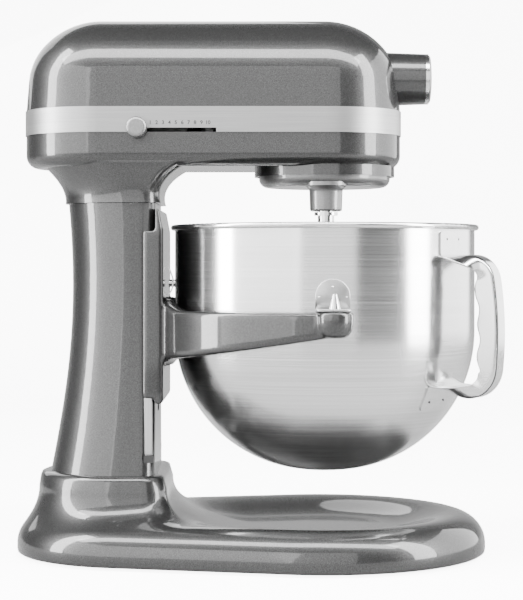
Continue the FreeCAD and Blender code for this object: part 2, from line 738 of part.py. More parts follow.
def cover_corners(inset):
    """Right half of the head's cross-section above the band, from the floor line up to the ridge."""
    share = f"((crown_radius - {inset}) / crown_radius)"
    crown = "(top_z - crown_radius)"
    return [
        (f"head_half - {inset}", "band_high"),
        (f"side_y - {inset}", "side_z"),
        (f"shoulder_y * {share}", f"{crown} + (shoulder_z - {crown}) * {share}",
         f"shoulder_radius - {inset}"),
        ("0", f"top_z - {inset}", f"crown_radius - {inset}"),
    ]


def cover_shape(part, inset, solid):
    """The head's cross-section drawn out along X and turned at both ends, as material or as the hollow."""
    half = cover_corners(inset)
    right = [half[0], half[1], half[2], half[3]]
    left = [
        (f"-({half[2][0]})", half[2][1], half[3][2]),
        (f"-({half[1][0]})", half[1][1], half[2][2]),
        (f"-({half[0][0]})", half[0][1]),
    ]
    middle = sketch(part, "YZ_Plane", "(bowl_x + head_rear_x) / 2")
    outline(middle, right + left)
    (pad if solid else pocket)(part, middle, "bowl_x - head_rear_x", both_ways=True)
    for centre in ("bowl_x", "head_rear_x"):
        end = sketch(part, "XZ_Plane", across=centre)
        outline(end, [("0", "band_high")] + half)
        turn(part, end, kind="Revolution" if solid else "Groove")


def head_top_cover():
    """Domed upper casting of the head, with the barrel of the attachment hub in front."""
    part = new_body("head_top_cover")
    cover_shape(part, "0", True)
    barrel = sketch(part, "XZ_Plane", up="drive_z")
    outline(barrel, [("hub_root - 16", "0"), ("hub_end", "0"), ("hub_end", "hub_end_radius"),
                     ("hub_root", "hub_radius"), ("hub_root - 16", "hub_radius")])
    turn(part, barrel, "H_Axis")
    screw_boss = sketch(part, "XZ_Plane", "-hub_radius - 6")
    circle(screw_boss, "hub_end - 14", "drive_z", "8")
    pad(part, screw_boss, "hub_radius")
    cover_shape(part, "head_wall", False)
    bore = sketch(part, "XZ_Plane", up="drive_z")
    outline(bore, [("hub_root - 20", "0"), ("hub_end + 1", "0"), ("hub_end + 1", "hub_bore"),
                   ("hub_root - 20", "hub_bore")])
    turn(part, bore, "H_Axis", "Groove")
    screw_hole = sketch(part, "XZ_Plane", "-hub_radius - 7")
    circle(screw_hole, "hub_end - 14", "drive_z", "3 + running_gap")
    pocket(part, screw_hole, "hub_radius", backward=True)
    return finish(part, "head_top_cover")


def hub_trim_ring():
    """Bright ring on the end of the hub barrel."""
    piece = ring("trim_ring", "hub_bore", "hub_end_radius", "hub_ring", ("hub_end", "0", "drive_z"), "x")
    return finish(piece, "hub_trim_ring")


def hub_bush():
    """Bearing of the hub drive shaft inside the barrel."""
    piece = ring("bush", "hub_shaft_radius + running_gap", "hub_bore", "18",
                 ("hub_root - 7", "0", "drive_z"), "x")
    return finish(piece, "hub_bush")


def hub_cap():
    """Cap that closes the hub: a slightly domed disc with a short spigot."""
    part = new_body("hub_cap")
    section = sketch(part, "XZ_Plane", up="drive_z")
    outline(section, [
        ("hub_end + hub_ring - 5", "0"), ("hub_end + hub_ring + hub_cap_thick", "0"),
        ("hub_end + hub_ring + hub_cap_thick - 1.2", "hub_end_radius - 2", "120"),
        ("hub_end + hub_ring + 0.2", "hub_end_radius - 0.3"), ("hub_end + hub_ring + 0.2", "hub_bore - 0.4"),
        ("hub_end + hub_ring - 5", "hub_bore - 0.4"),
    ])
    turn(part, section, "H_Axis")
    return finish(part, "hub_cap")


def attachment_knob():
    """Thumb screw on the far side of the hub that clamps an attachment."""
    at = ("hub_end - 14", "hub_bore + 1", "drive_z")
    screw = rod("knob_screw", "3", "20", at, "y")
    grip = rod("knob_grip", "12.5", "11", ("hub_end - 14", "hub_radius + 7", "drive_z"), "y")
    return finish(fuse("thumb", screw, grip), "attachment_knob")


# ---- planetary drive ----

def ring_gear():
    """Internal ring gear fixed in the nose; the planet pinion rolls round inside it."""
    width = number("case_low - head_low")
    blank = Part.makeCylinder(number("gear_ring_seat"), width)
    pitch = RING_TEETH * PLANET_MODULE / 2
    gaps = tooth_wire(RING_TEETH, pitch, 1.25 * PLANET_MODULE, 0.8 * PLANET_MODULE, 1.16)
    blank = blank.cut(Part.Face(gaps).extrude(Vector(0, 0, width)))
    spot = Vector(number("bowl_x"), 0, number("head_low"))
    return shaped("planetary_ring_gear", blank, Placement(spot, Rotation()))


def planetary_housing():
    """Disc that carries the beater shaft round the bowl, with an off-centre boss on its underside."""
    part = new_body("planetary_housing")
    section = sketch(part, "XZ_Plane", across="bowl_x")
    outline(section, [
        ("0", "disc_low"), ("disc_radius - 7", "disc_low"), ("disc_radius", "disc_low + 7", "7"),
        ("disc_radius", "disc_high"), ("14", "disc_high"), ("14", "disc_high + 11"), ("0", "disc_high + 11"),
    ])
    turn(part, section)
    boss = sketch(part, "XZ_Plane", "orbit", across="bowl_x")
    outline(boss, [
        ("0", "beater_boss_low"), ("beater_boss_radius - 2", "beater_boss_low"),
        ("beater_boss_radius - 0.4", "beater_boss_low + 1.6", "1.6"), ("beater_boss_radius", "disc_low - 5"),
        ("beater_boss_radius + 5", "disc_low", "-5"), ("beater_boss_radius + 5", "disc_low + 3"),
        ("0", "disc_low + 3"),
    ])
    turn(part, boss)
    holes = sketch(part, "XY_Plane", "disc_high + 11")
    circle(holes, "bowl_x", "0", "centre_shaft_radius")
    pocket(part, holes, "20")
    bore = sketch(part, "XY_Plane", "disc_high + 1")
    circle(bore, "bowl_x", "-orbit", "beater_radius + running_gap")
    pocket(part, bore, "disc_high - beater_boss_low + 5")
    return finish(part, "planetary_housing")


def centre_shaft():
    """Upright shaft that turns the planetary housing."""
    low = "disc_high + 11 - 20"
    shaft = rod("upright", "centre_shaft_radius", f"drive_z - 11 - ({low})", ("bowl_x", "0", low))
    pin_hole = rod("upright_hole", "2.5", "30", ("bowl_x - 15", "0", "disc_high + 6"), "x")
    return finish(cut("upright_shaft", shaft, pin_hole), "centre_shaft")


def centre_pin():
    """Pin that locks the planetary housing's hub to the centre shaft."""
    half = "(centre_shaft_radius - 0.5)"
    pin = rod("lock_pin", "2.5", f"2 * {half}", (f"bowl_x - {half}", "0", "disc_high + 6"), "x")
    return finish(pin, "centre_shaft_pin")


def centre_bevel_gear():
    solid = bevel_solid(BEVEL_TEETH, BEVEL_PINION_TEETH, BEVEL_MODULE, number("centre_shaft_radius"), 17, 11)
    apex = Vector(number("bowl_x"), 0, number("drive_z"))
    return shaped("centre_bevel_gear", solid, Placement(apex, Rotation()))


def beater_shaft():
    """Shaft that turns the beater, rounded at its free end."""
    part = new_body("beater_shaft")
    section = sketch(part, "XZ_Plane", "orbit", across="bowl_x")
    outline(section, [
        ("0", "beater_low"), ("beater_radius - 2", "beater_low"), ("beater_radius", "beater_low + 2", "2"),
        ("beater_radius", "beater_low + 10"), ("beater_radius - 0.5", "beater_low + 10.5"),
        ("beater_radius - 0.5", "beater_low + 15.5"), ("beater_radius", "beater_low + 16"),
        ("beater_radius", "beater_high"), ("0", "beater_high"),
    ])
    turn(part, section)
    cross_hole = sketch(part, "YZ_Plane", "bowl_x")
    circle(cross_hole, "-orbit", "beater_low + 13", "2.2")
    pocket(part, cross_hole, "40", both_ways=True)
    return finish(part, "beater_shaft")


def beater_pin():
    """Cross pin that the bayonet slot of a beater hooks on."""
    pin = rod("bayonet_pin", "2.2", "24", ("bowl_x - 12", "-orbit", "beater_low + 13"), "x")
    return finish(pin, "beater_pin")


def shaft_washer():
    """Washer on the beater shaft, below the planetary's boss."""
    piece = ring("washer", "beater_radius", "9", "2.5", ("bowl_x", "-orbit", "beater_boss_low - 3.2"))
    return finish(piece, "shaft_washer")


def planet_pinion():
    width = number("planet_high - planet_low")
    solid = spur_solid(PLANET_TEETH, PLANET_MODULE, width, number("beater_radius"), share=0.84)
    where = Vector(number("bowl_x"), -number("orbit"), number("planet_low"))
    return shaped("planet_pinion", solid, Placement(where, Rotation()))


# ---- motor and gear train ----

def motor_can():
    """Steel can of the motor, closed in front by its own end plate."""
    tube = ring("can_tube", "can_radius - 2.5", "can_radius", "can_front - can_rear",
                ("can_rear", "0", "motor_z"), "x")
    plate = ring("can_plate", "motor_shaft_radius + 4", "can_radius - 2.5", "3",
                 ("can_front - 3", "0", "motor_z"), "x")
    return finish(fuse("can", tube, plate), "motor_can")


def motor_end_bell():
    """Rear cover of the motor, which holds the rear bearing."""
    piece = ring("bell", "motor_shaft_radius + 4", "can_radius", "4", ("can_rear - 4", "0", "motor_z"), "x")
    return finish(piece, "motor_end_bell")


def field_magnets():
    """Two arc magnets inside the can."""
    whole = ring("magnet_ring", "rotor_radius + 1", "can_radius - 2.5", "52",
                 ("can_rear + 4", "0", "motor_z"), "x")
    gap = block("magnet_gap", ("can_rear", "-12", "motor_z - can_radius"), ("60", "24", "2 * can_radius"))
    return finish(cut("magnets", whole, gap), "field_magnets")


def motor_bearings():
    """Bearing rings in the motor's two end plates."""
    rings = [
        ring("motor_bearing", "motor_shaft_radius + running_gap", "motor_shaft_radius + 4", width,
             (x, "0", "motor_z"), "x")
        for x, width in (("can_rear - 4", "4"), ("can_front - 3", "3"))
    ]
    return finish(group("motor_bearing_pair", rings), "motor_bearings")


def carbon_brushes():
    """Two carbon brushes, one each side of the commutator."""
    brushes = [
        block("brush", ("can_front - 13", y, "motor_z - 3"), ("6", "10", "6"))
        for y in ("10.3", "-20.3")
    ]
    return finish(group("brush_pair", brushes), "carbon_brushes")


def rotor_core():
    """Slotted stack of laminations on the motor shaft."""
    part = new_body("rotor_core")
    disc = sketch(part, "YZ_Plane", "can_rear + 6")
    circle(disc, "0", "0", "rotor_radius")
    circle(disc, "0", "0", "motor_shaft_radius")
    pad(part, disc, "48")
    slot = sketch(part, "YZ_Plane", "can_rear + 6")
    rectangle(slot, "rotor_radius - 8", "-1.2", "rotor_radius + 1", "1.2")
    first = pocket(part, slot, "48", backward=True)
    polar_pattern(part, first, "X_Axis", ROTOR_SLOTS)
    bind(part, "Placement.Base.z", "motor_z")
    return finish(part, "rotor_core")


def commutator():
    """Copper bars round the shaft, in front of the rotor core."""
    part = new_body("commutator")
    disc = sketch(part, "YZ_Plane", "can_front - 16")
    circle(disc, "0", "0", "10")
    circle(disc, "0", "0", "motor_shaft_radius")
    pad(part, disc, "11")
    slot = sketch(part, "YZ_Plane", "can_front - 16")
    rectangle(slot, "9", "-0.4", "11", "0.4")
    first = pocket(part, slot, "11", backward=True)
    polar_pattern(part, first, "X_Axis", COMMUTATOR_BARS)
    bind(part, "Placement.Base.z", "motor_z")
    return finish(part, "commutator")


def motor_shaft():
    low = "can_rear - 8"
    length = f"spur_rear + spur_width + 1 - ({low})"
    shaft = rod("rotor_shaft", "motor_shaft_radius", length, (low, "0", "motor_z"), "x")
    return finish(shaft, "motor_shaft")


def cooling_fan():
    """Fan on the motor shaft in front of the can."""
    part = new_body("cooling_fan")
    disc = sketch(part, "YZ_Plane", "can_front + 2")
    circle(disc, "0", "0", "28")
    circle(disc, "0", "0", "motor_shaft_radius")
    pad(part, disc, "1.5")
    blade = sketch(part, "YZ_Plane", "can_front + 3.5")
    rectangle(blade, "9", "-0.8", "27", "0.8")
    first = pad(part, blade, "6")
    polar_pattern(part, first, "X_Axis", FAN_BLADES)
    bind(part, "Placement.Base.z", "motor_z")
    return finish(part, "cooling_fan")


def on_x_axis(x, z, forward=True):
    """Placement that lays a gear made round +Z along X."""
    return Placement(Vector(x, 0, z), Rotation(Vector(0, 1, 0), 90 if forward else -90))


def motor_pinion():
    half_step = math.pi / MOTOR_PINION_TEETH
    solid = spur_solid(MOTOR_PINION_TEETH, SPUR_MODULE, number("spur_width"),
                       number("motor_shaft_radius"), half_step)
    return shaped("motor_pinion", solid, on_x_axis(number("spur_rear"), number("motor_z")))


def reduction_gear():
    solid = spur_solid(SPUR_TEETH, SPUR_MODULE, number("spur_width"), number("jack_radius"))
    return shaped("reduction_gear", solid, on_x_axis(number("spur_rear"), number("drive_z")))


def jackshaft():
    low = "wall_rear - 1"
    reach = f"bowl_x - {BEVEL_TEETH * BEVEL_MODULE / 2 * 0.66:.2f} - ({low})"
    return finish(rod("jack", "jack_radius", reach, (low, "0", "drive_z"), "x"), "jackshaft")


def bevel_pinion(name, forward, bore):
    half_step = math.pi / BEVEL_PINION_TEETH
    solid = bevel_solid(BEVEL_PINION_TEETH, BEVEL_TEETH, BEVEL_MODULE, bore, 8.2, 6, half_step)
    return shaped(name, solid, on_x_axis(number("bowl_x"), number("drive_z"), forward))


def hub_drive_shaft():
    """Shaft with a square socket that drives an attachment."""
    neck_start = f"bowl_x + {BEVEL_TEETH * BEVEL_MODULE / 2 * 0.66:.2f}"
    neck_length = f"hub_root - 9 - ({neck_start})"
    neck = rod("hub_neck", "jack_radius", neck_length, (neck_start, "0", "drive_z"), "x")
    barrel = rod("hub_barrel", "hub_shaft_radius", "27", ("hub_root - 9", "0", "drive_z"), "x")
    side = "socket_side"
    corner = ("hub_root + 2", f"-{side} / 2", f"drive_z - {side} / 2")
    socket = block("hub_socket", corner, ("20", side, side))
    return finish(cut("hub_shaft", fuse("hub_blank", neck, barrel), socket), "hub_drive_shaft")


def gearcase():
    """Frame inside the head: a plate over the ring gear, the centre shaft's tower, two bearing walls."""
    disc = rod("case_disc", "gear_ring_seat", "case_plate", ("bowl_x", "0", "case_low"))
    tower = rod("case_tower", "tower_radius", "tower_top - case_low", ("bowl_x", "0", "case_low"))
    plate = block("case_floor", ("wall_rear", "-30", "case_low"), ("bowl_x - wall_rear", "60", "case_plate"))
    walls = [
        block("case_wall", (x, "-22", "case_low"), ("case_wall", "44", "drive_z + 14 - case_low"))
        for x in ("wall_rear", "wall_front")
    ]
    holes = [rod("case_bore", "centre_shaft_radius + 4", "60", ("bowl_x", "0", "case_low - 5"))]
    for x in ("wall_rear", "wall_front"):
        holes.append(rod("case_motor_hole", "motor_shaft_radius + 4", "case_wall", (x, "0", "motor_z"), "x"))
        holes.append(rod("case_jack_hole", "jack_radius + 4", "case_wall", (x, "0", "drive_z"), "x"))
    return finish(cut("case", fuse("case_blank", disc, tower, plate, *walls), *holes), "gearcase")


def gearcase_bearings():
    """Bearing rings for the motor shaft, the jackshaft and the centre shaft."""
    rings = [
        ring("centre_bearing", "centre_shaft_radius + running_gap", "centre_shaft_radius + 4", "8",
             ("bowl_x", "0", z))
        for z in ("case_low", "tower_top - 8")
    ]
    for x in ("wall_rear", "wall_front"):
        rings.append(ring("jack_bearing", "jack_radius + running_gap", "jack_radius + 4", "case_wall",
                          (x, "0", "drive_z"), "x"))
    rings.append(ring("shaft_bearing", "motor_shaft_radius + running_gap",
                      "motor_shaft_radius + 4", "case_wall",
                      ("wall_rear", "0", "motor_z"), "x"))
    return finish(group("case_bearings", rings), "gearcase_bearings")


# ---- controls ----

def control_board():
    """Circuit board with two tall parts, beside the motor."""
    board = block("board", ("-118", "46", "312"), ("60", "1.6", "32"))
    coil = block("board_coil", ("-108", "39", "316"), ("16", "7", "14"))
    sink = block("board_sink", ("-84", "40", "316"), ("14", "6", "20"))
    return finish(fuse("board_whole", board, coil, sink), "control_board")


def speed_knob():
    """Round knob of the speed lever, on the near side of the head."""
    part = new_body("speed_knob")
    section = sketch(part, "XZ_Plane", across="knob_x")
    outline(section, [
        ("0", "head_half + band_proud + 1.2"), ("knob_radius - 1", "head_half + band_proud + 1.2"),
        ("knob_radius", "head_half + band_proud + 2.2", "1"), ("knob_radius", "head_half + 11.5"),
        ("knob_radius - 2.5", "head_half + 14", "2.5"), ("0", "head_half + 14"),
    ])
    turn(part, section)
    part.Placement = Placement(Vector(), Rotation(Vector(1, 0, 0), 90))
    bind(part, "Placement.Base.z", "knob_z")
    return finish(part, "speed_knob")


def speed_lever_arm():
    """Flat arm from the knob through the slot to the speed switch inside."""
    low_z = "band_low + 0.35"
    bar = block("lever_bar", ("knob_x - 3", "-head_half - band_proud - 1.2", low_z),
                ("6", "24", "slot_height - 0.8"))
    foot = block("lever_foot", ("knob_x - 3", "-40.4", low_z), ("6", "3", "10"))
    return finish(fuse("lever_arm", bar, foot), "speed_lever_arm")


# ---- bowl lift ----

def bowl_yoke():
    """Casting that carries the bowl: a web that slides on the column and two arms round the bowl."""
    part = new_body("bowl_yoke")
    arms = sketch(part, "XY_Plane", "arm_low_rear", across="bowl_x")
    outline(arms, [
        ("pin_x - bowl_x", "-arm_inner"), ("pin_x - bowl_x", "-arm_outer"), ("0", "-arm_outer"),
        ("-arm_outer", "0", "-arm_outer"), ("0", "arm_outer", "-arm_outer"), ("pin_x - bowl_x", "arm_outer"),
        ("pin_x - bowl_x", "arm_inner"), ("0", "arm_inner"), ("-arm_inner", "0", "arm_inner"),
        ("0", "-arm_inner", "arm_inner"),
    ])
    pad(part, arms, "arm_top - arm_low_rear")
    tips = sketch(part, "XY_Plane", "arm_low_front")
    for y in ("pin_y", "-pin_y"):
        circle(tips, "pin_x", y, "tip_radius")
    pad(part, tips, "arm_top - arm_low_front")
    underside = sketch(part, "XZ_Plane")
    outline(underside, [
        ("web_front - 2", "arm_low_rear - 10"), ("pin_x + 30", "arm_low_rear - 10"),
        ("pin_x + 30", "arm_low_front"), ("pin_x - 18", "arm_low_front"), ("web_front - 2", "arm_low_rear"),
    ])
    pocket(part, underside, "400", both_ways=True)
    web = sketch(part, "XY_Plane", "web_low")
    rectangle(web, "web_rear", "-flange_outer", "web_front", "flange_outer")
    pad(part, web, "web_high - web_low")
    flanges = sketch(part, "XY_Plane", "flange_low")
    rectangle(flanges, "flange_rear", "flange_inner", "web_front", "flange_outer")
    rectangle(flanges, "flange_rear", "-flange_outer", "web_front", "-flange_inner")
    pad(part, flanges, "flange_high - flange_low")
    clear = sketch(part, "XY_Plane", "web_high + 5")
    rectangle(clear, "web_rear - 30", "-flange_inner", "web_rear", "flange_inner")
    pocket(part, clear, "200")
    sweep = sketch(part, "XY_Plane", "web_high + 5", across="bowl_x")
    circle(sweep, "0", "0", "arm_inner")
    pocket(part, sweep, "200")
    tongue = sketch(part, "YZ_Plane", "column_front - 5")
    rectangle(tongue, "-5", "lift_z + 6", "5", "lift_z + 20")
    pad(part, tongue, "10")
    return finish(part, "bowl_yoke")


def yoke_pins():
    """Tapered locating pins on the arm tips."""
    pins = [
        cone("locating_pin", "pin_radius", "pin_tip_radius", "pin_height", ("pin_x", y, "arm_top"))
        for y in ("pin_y", "-pin_y")
    ]
    return finish(group("pins", pins), "yoke_pins")


def bowl_latch():
    """Spring fork on the yoke's web that the bowl's rear pin drops into."""
    blades = [
        block("latch_blade", ("web_front", y, "latch_z - 10"), ("5.5", "1.5", "23"))
        for y in ("latch_radius + 0.5", "-latch_radius - 2")
    ]
    back = block("latch_back", ("web_front", "-latch_radius - 2", "latch_z - 10"),
                 ("1", "2 * latch_radius + 4", "23"))
    return finish(fuse("latch", back, *blades), "bowl_latch_spring")


def lift_lever():
    """Lever on the far side of the column, upright when the bowl is raised."""
    part = new_body("lift_lever")
    plan = sketch(part, "XZ_Plane", "-lever_inner")
    outline(plan, [
        ("lift_x - 10", "lift_z"), ("lift_x", "lift_z - 10", "10"), ("lift_x + 10", "lift_z", "10"),
        ("lift_x + 6", "lift_z + lever_length - 6"), ("lift_x", "lift_z + lever_length", "6"),
        ("lift_x - 6", "lift_z + lever_length - 6", "6"),
    ])
    pad(part, plan, "lever_thick", backward=True)
    hole = sketch(part, "XZ_Plane", "-lever_inner - lever_thick")
    circle(hole, "lift_x", "lift_z", "lift_radius")
    pocket(part, hole, "lever_thick + 1", backward=True)
    return finish(part, "lift_lever")


def lift_knob():
    """Round grip at the end of the lift lever."""
    grip = rod("lift_grip", "11", "16",
               ("lift_x", "lever_inner + lever_thick", "lift_z + lever_length - 8"), "y")
    rounded = doc.addObject("Part::Fillet", "lift_grip_round")
    rounded.Base = grip
    doc.recompute()
    rounded.Edges = [(i, 3, 3) for i, edge in enumerate(grip.Shape.Edges, start=1) if edge.Closed]
    return finish(rounded, "lift_knob")


def lift_shaft():
    """Shaft that carries the lever's motion into the column."""
    length = "lever_inner + lever_thick + 16"
    shaft = rod("lift_rod", "lift_radius", length, ("lift_x", "-16", "lift_z"), "y")
    return finish(shaft, "lift_shaft")


def lift_crank():
    """Crank inside the column that raises the yoke."""
    arm = block("crank_arm", ("lift_x - 24", "-5", "lift_z - 6"), ("24", "10", "12"))
    eye = rod("crank_eye", "lift_radius + 4", "10", ("lift_x", "-5", "lift_z"), "y")
    hole = rod("crank_hole", "lift_radius", "10", ("lift_x", "-5", "lift_z"), "y")
    return finish(cut("crank", fuse("crank_blank", arm, eye), hole), "lift_crank")


def lift_bush():
    """Bronze bush of the lift shaft in the column's wall."""
    piece = ring("shaft_bush", "lift_radius + running_gap", "lift_radius + 4", "15",
                 ("lift_x", "lever_inner - 17", "lift_z"), "y")
    return finish(piece, "lift_bush")


# ---- bowl ----

def bowl_shell():
    """Deep drawn bowl: a straight wall, a round bottom and a rolled rim."""
    part = new_body("bowl_shell")
    section = sketch(part, "XZ_Plane", across="bowl_x")
    centre = "(wall_radius - bowl_round)"
    outline(section, [
        (centre, "bowl_turn_z - bowl_round"),
        ("wall_radius", "bowl_turn_z", "bowl_round"),
        ("wall_radius", "bowl_rim_z - bead_radius * 0.866"),
        ("wall_radius + bead_radius * 1.5", "bowl_rim_z", "bead_radius"),
        ("wall_radius", "bowl_rim_z + bead_radius * 0.866", "bead_radius"),
        ("wall_radius - bowl_steel", "bowl_rim_z + bead_radius * 0.3"),
        ("wall_radius - bowl_steel", "bowl_turn_z"),
        (centre, "bowl_turn_z - bowl_round + bowl_steel", "-(bowl_round - bowl_steel)"),
        ("0", "bowl_turn_z - bowl_round + bowl_steel"),
        ("0", "bowl_turn_z - bowl_round"),
    ])
    turn(part, section)
    return finish(part, "bowl_shell")


def bowl_ears():
    """Two bent plates on the bowl's sides that sit on the yoke's arms."""
    ears = []
    for sign in (1, -1):
        part = new_body("ear")
        flange = sketch(part, "XY_Plane", "ear_low")
        rectangle(flange, "ear_x - ear_half", "wall_radius - 8",
                  "ear_x + ear_half", "wall_radius + ear_reach")
        pad(part, flange, "2.2")
        plate = sketch(part, "XZ_Plane", "-wall_radius + 8")
        outline(plate, [
            ("ear_x + ear_half", "ear_low"), ("ear_x + ear_half", "ear_high - 9"),
            ("ear_x + ear_half - 9", "ear_high", "9"), ("ear_x - ear_half + 9", "ear_high"),
            ("ear_x - ear_half", "ear_high - 9", "9"), ("ear_x - ear_half", "ear_low"),
        ])
        pad(part, plate, "10", backward=True)
        hole = sketch(part, "XY_Plane", "ear_low")
        circle(hole, "pin_x", "pin_y", "pin_radius + 0.6")
        pocket(part, hole, "3", backward=True)
        inside = sketch(part, "XY_Plane", "ear_low - 1")
        circle(inside, "bowl_x", "0", "wall_radius")
        pocket(part, inside, "60", backward=True)
        if sign < 0:
            mirrored = doc.addObject("Part::Mirroring", "ear_mirrored")
            mirrored.Source = part
            mirrored.Normal = Vector(0, 1, 0)
            part = mirrored
        ears.append(part)
    return finish(group("ears", ears), "bowl_ears")


def bowl_rear_pin():
    """Stud on the back of the bowl that drops into the latch spring."""
    stud = rod("stud", "latch_radius", "5", ("bowl_x - wall_radius - 5", "0", "latch_z"), "x")
    return finish(stud, "bowl_rear_pin")


def handle_corners(inset, open_side):
    """Loop of the handle in the plane of the bowl's axis; inset shrinks its outer face."""
    top, bottom = f"(handle_top - {inset})", f"(handle_bottom + {inset})"
    reach, bend = f"(handle_reach - {inset})", f"(20 - {inset})"
    inner, turn_in = f"(handle_reach - handle_depth + {open_side})", "8"
    under = f"(handle_top - handle_depth + {open_side})"
    over = f"(handle_bottom + handle_depth - {open_side})"
    return [
        (f"{reach} - {bend} - 1.5", bottom), (f"{reach} - 1.5", f"{bottom} + {bend}", bend),
        (f"{reach} - 1.5", f"{top} - {bend}", "1000"), (f"{reach} - {bend} - 1.5", top, bend),
        ("wall_radius + 0.2", top), ("wall_radius + 0.2", under), (f"{inner} - {turn_in}", under),
        (inner, f"{under} - {turn_in}", f"-{turn_in}"), (inner, f"{over} + {turn_in}"),
        (f"{inner} - {turn_in}", over, f"-{turn_in}"), ("wall_radius - 8", over),
        ("wall_radius - 8", bottom),
    ]


def bowl_handle():
    """Steel channel bent into a loop, with a tab at each end that is welded to the bowl."""
    part = new_body("bowl_handle")
    loop = sketch(part, "XZ_Plane")
    outline(loop, handle_corners("0", "0"))
    pad(part, loop, "handle_width", both_ways=True)
    hollow = sketch(part, "XZ_Plane")
    outline(hollow, handle_corners("handle_sheet", "3"))
    pocket(part, hollow, "handle_width - 2 * handle_sheet", both_ways=True)
    upper = sketch(part, "XZ_Plane")
    rectangle(upper, "wall_radius + 0.2", "handle_top - handle_depth",
              "wall_radius + 0.2 + handle_sheet", "bowl_rim_z - 3")
    turn(part, upper, angle=24, middle=True)
    wall = sketch(part, "XZ_Plane")
    centre = "(wall_radius - bowl_round)"
    outline(wall, [
        ("0", "40"), (centre, "bowl_turn_z - bowl_round - 0.2"),
        ("wall_radius + 0.2", "bowl_turn_z", "bowl_round + 0.2"), ("wall_radius + 0.2", "300"), ("0", "300"),
    ])
    turn(part, wall, kind="Groove")
    part.Placement = Placement(Vector(), Rotation(Vector(0, 0, 1), -HANDLE_TURN))
    bind(part, "Placement.Base.x", "bowl_x")
    return finish(part, "bowl_handle")


for make in (
    base_casting, base_bottom_cover, base_feet, cord_gland, column_bolts,
    column_casting, guide_rails, rail_stops, head_screws,
    head_lower_housing, trim_band, head_top_cover, hub_trim_ring, hub_bush, hub_cap, attachment_knob,
    ring_gear, planetary_housing, centre_shaft, centre_pin, centre_bevel_gear,
    beater_shaft, beater_pin, shaft_washer, planet_pinion,
    motor_can, motor_end_bell, field_magnets, motor_bearings, carbon_brushes,
    rotor_core, commutator, motor_shaft, cooling_fan, motor_pinion, reduction_gear, jackshaft,
    hub_drive_shaft, gearcase, gearcase_bearings, control_board, speed_knob, speed_lever_arm,
    bowl_yoke, yoke_pins, bowl_latch, lift_lever, lift_knob, lift_shaft, lift_crank, lift_bush,
    bowl_shell, bowl_ears, bowl_rear_pin, bowl_handle,
):
    make()
bevel_pinion("rear_bevel_pinion", True, number("jack_radius"))
bevel_pinion("hub_bevel_pinion", False, number("jack_radius"))

doc.recompute()
for thing in doc.Objects:
    if "Invalid" in thing.State or "Error" in thing.State:
        raise RuntimeError(f"{thing.Name} ({thing.Label}) failed: {thing.State}")
for part in finished:
    if part.Shape.isNull() or not part.Shape.isValid():
        raise RuntimeError(f"{part.Label} has no valid shape")
    part.Shape.exportStep(f"parts/{part.Label}.step")
print(len(finished), "sub-parts written")
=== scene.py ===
import bmesh
import bpy
import math
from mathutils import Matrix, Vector


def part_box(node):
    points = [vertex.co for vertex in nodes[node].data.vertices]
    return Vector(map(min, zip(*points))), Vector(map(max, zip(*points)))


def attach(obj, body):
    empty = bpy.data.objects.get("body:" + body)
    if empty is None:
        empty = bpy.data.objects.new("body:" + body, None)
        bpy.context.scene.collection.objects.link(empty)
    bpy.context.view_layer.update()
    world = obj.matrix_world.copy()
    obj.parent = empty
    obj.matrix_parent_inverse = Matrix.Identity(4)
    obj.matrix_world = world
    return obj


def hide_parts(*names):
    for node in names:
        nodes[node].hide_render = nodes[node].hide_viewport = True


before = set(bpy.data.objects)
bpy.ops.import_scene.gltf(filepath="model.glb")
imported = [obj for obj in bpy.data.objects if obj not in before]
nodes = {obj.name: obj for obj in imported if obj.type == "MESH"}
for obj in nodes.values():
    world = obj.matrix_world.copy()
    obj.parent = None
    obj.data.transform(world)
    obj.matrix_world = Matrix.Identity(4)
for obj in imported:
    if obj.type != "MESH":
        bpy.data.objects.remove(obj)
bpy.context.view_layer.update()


# ---- the studio: a pale sweep, soft panels and the camera ----
# The mixer stands on a pale seamless sweep. Two tall side panels and one wide panel overhead
# draw the long highlights in the paint. Broad panels in front and behind fill the steel bowl.

def panel(name, place, aim, width, height, power):
    """A rectangular soft light that faces the point aim."""
    light = bpy.data.lights.new(name, "AREA")
    light.shape = "RECTANGLE"
    light.size = width
    light.size_y = height
    light.energy = power
    lamp = bpy.data.objects.new(name, light)
    lamp.location = place
    lamp.rotation_euler = (Vector(aim) - Vector(place)).to_track_quat("-Z", "Y").to_euler()
    bpy.context.scene.collection.objects.link(lamp)


MIDDLE = Vector((0.0, 0.0, 0.2))
panel("panel_left", (-1.45, -0.28, 0.70), MIDDLE, 0.40, 2.3, 95)
panel("panel_right", (1.42, -0.47, 0.60), MIDDLE, 0.52, 2.1, 85)
panel("panel_right_back", (1.95, 0.75, 0.7), MIDDLE, 2.3, 1.9, 70)
panel("panel_top", (-0.05, -0.66, 1.42), (0.0, 0.0, 0.36), 3.0, 0.42, 85)
panel("panel_front_left", (-1.75, -1.75, 0.75), MIDDLE, 2.5, 2.0, 78)
panel("panel_front_right", (0.02, -2.5, 0.8), MIDDLE, 2.1, 2.0, 30)
panel("panel_behind", (-0.9, 2.0, 1.3), MIDDLE, 2.0, 1.4, 26)

world = bpy.data.worlds.new("studio_air")
world.use_nodes = True
world.node_tree.nodes["Background"].inputs["Color"].default_value = (1, 1, 1, 1)
world.node_tree.nodes["Background"].inputs["Strength"].default_value = 0.12
bpy.context.scene.world = world
WHITE_AIR = 8.5
WHITE_SWEEP = 9.0


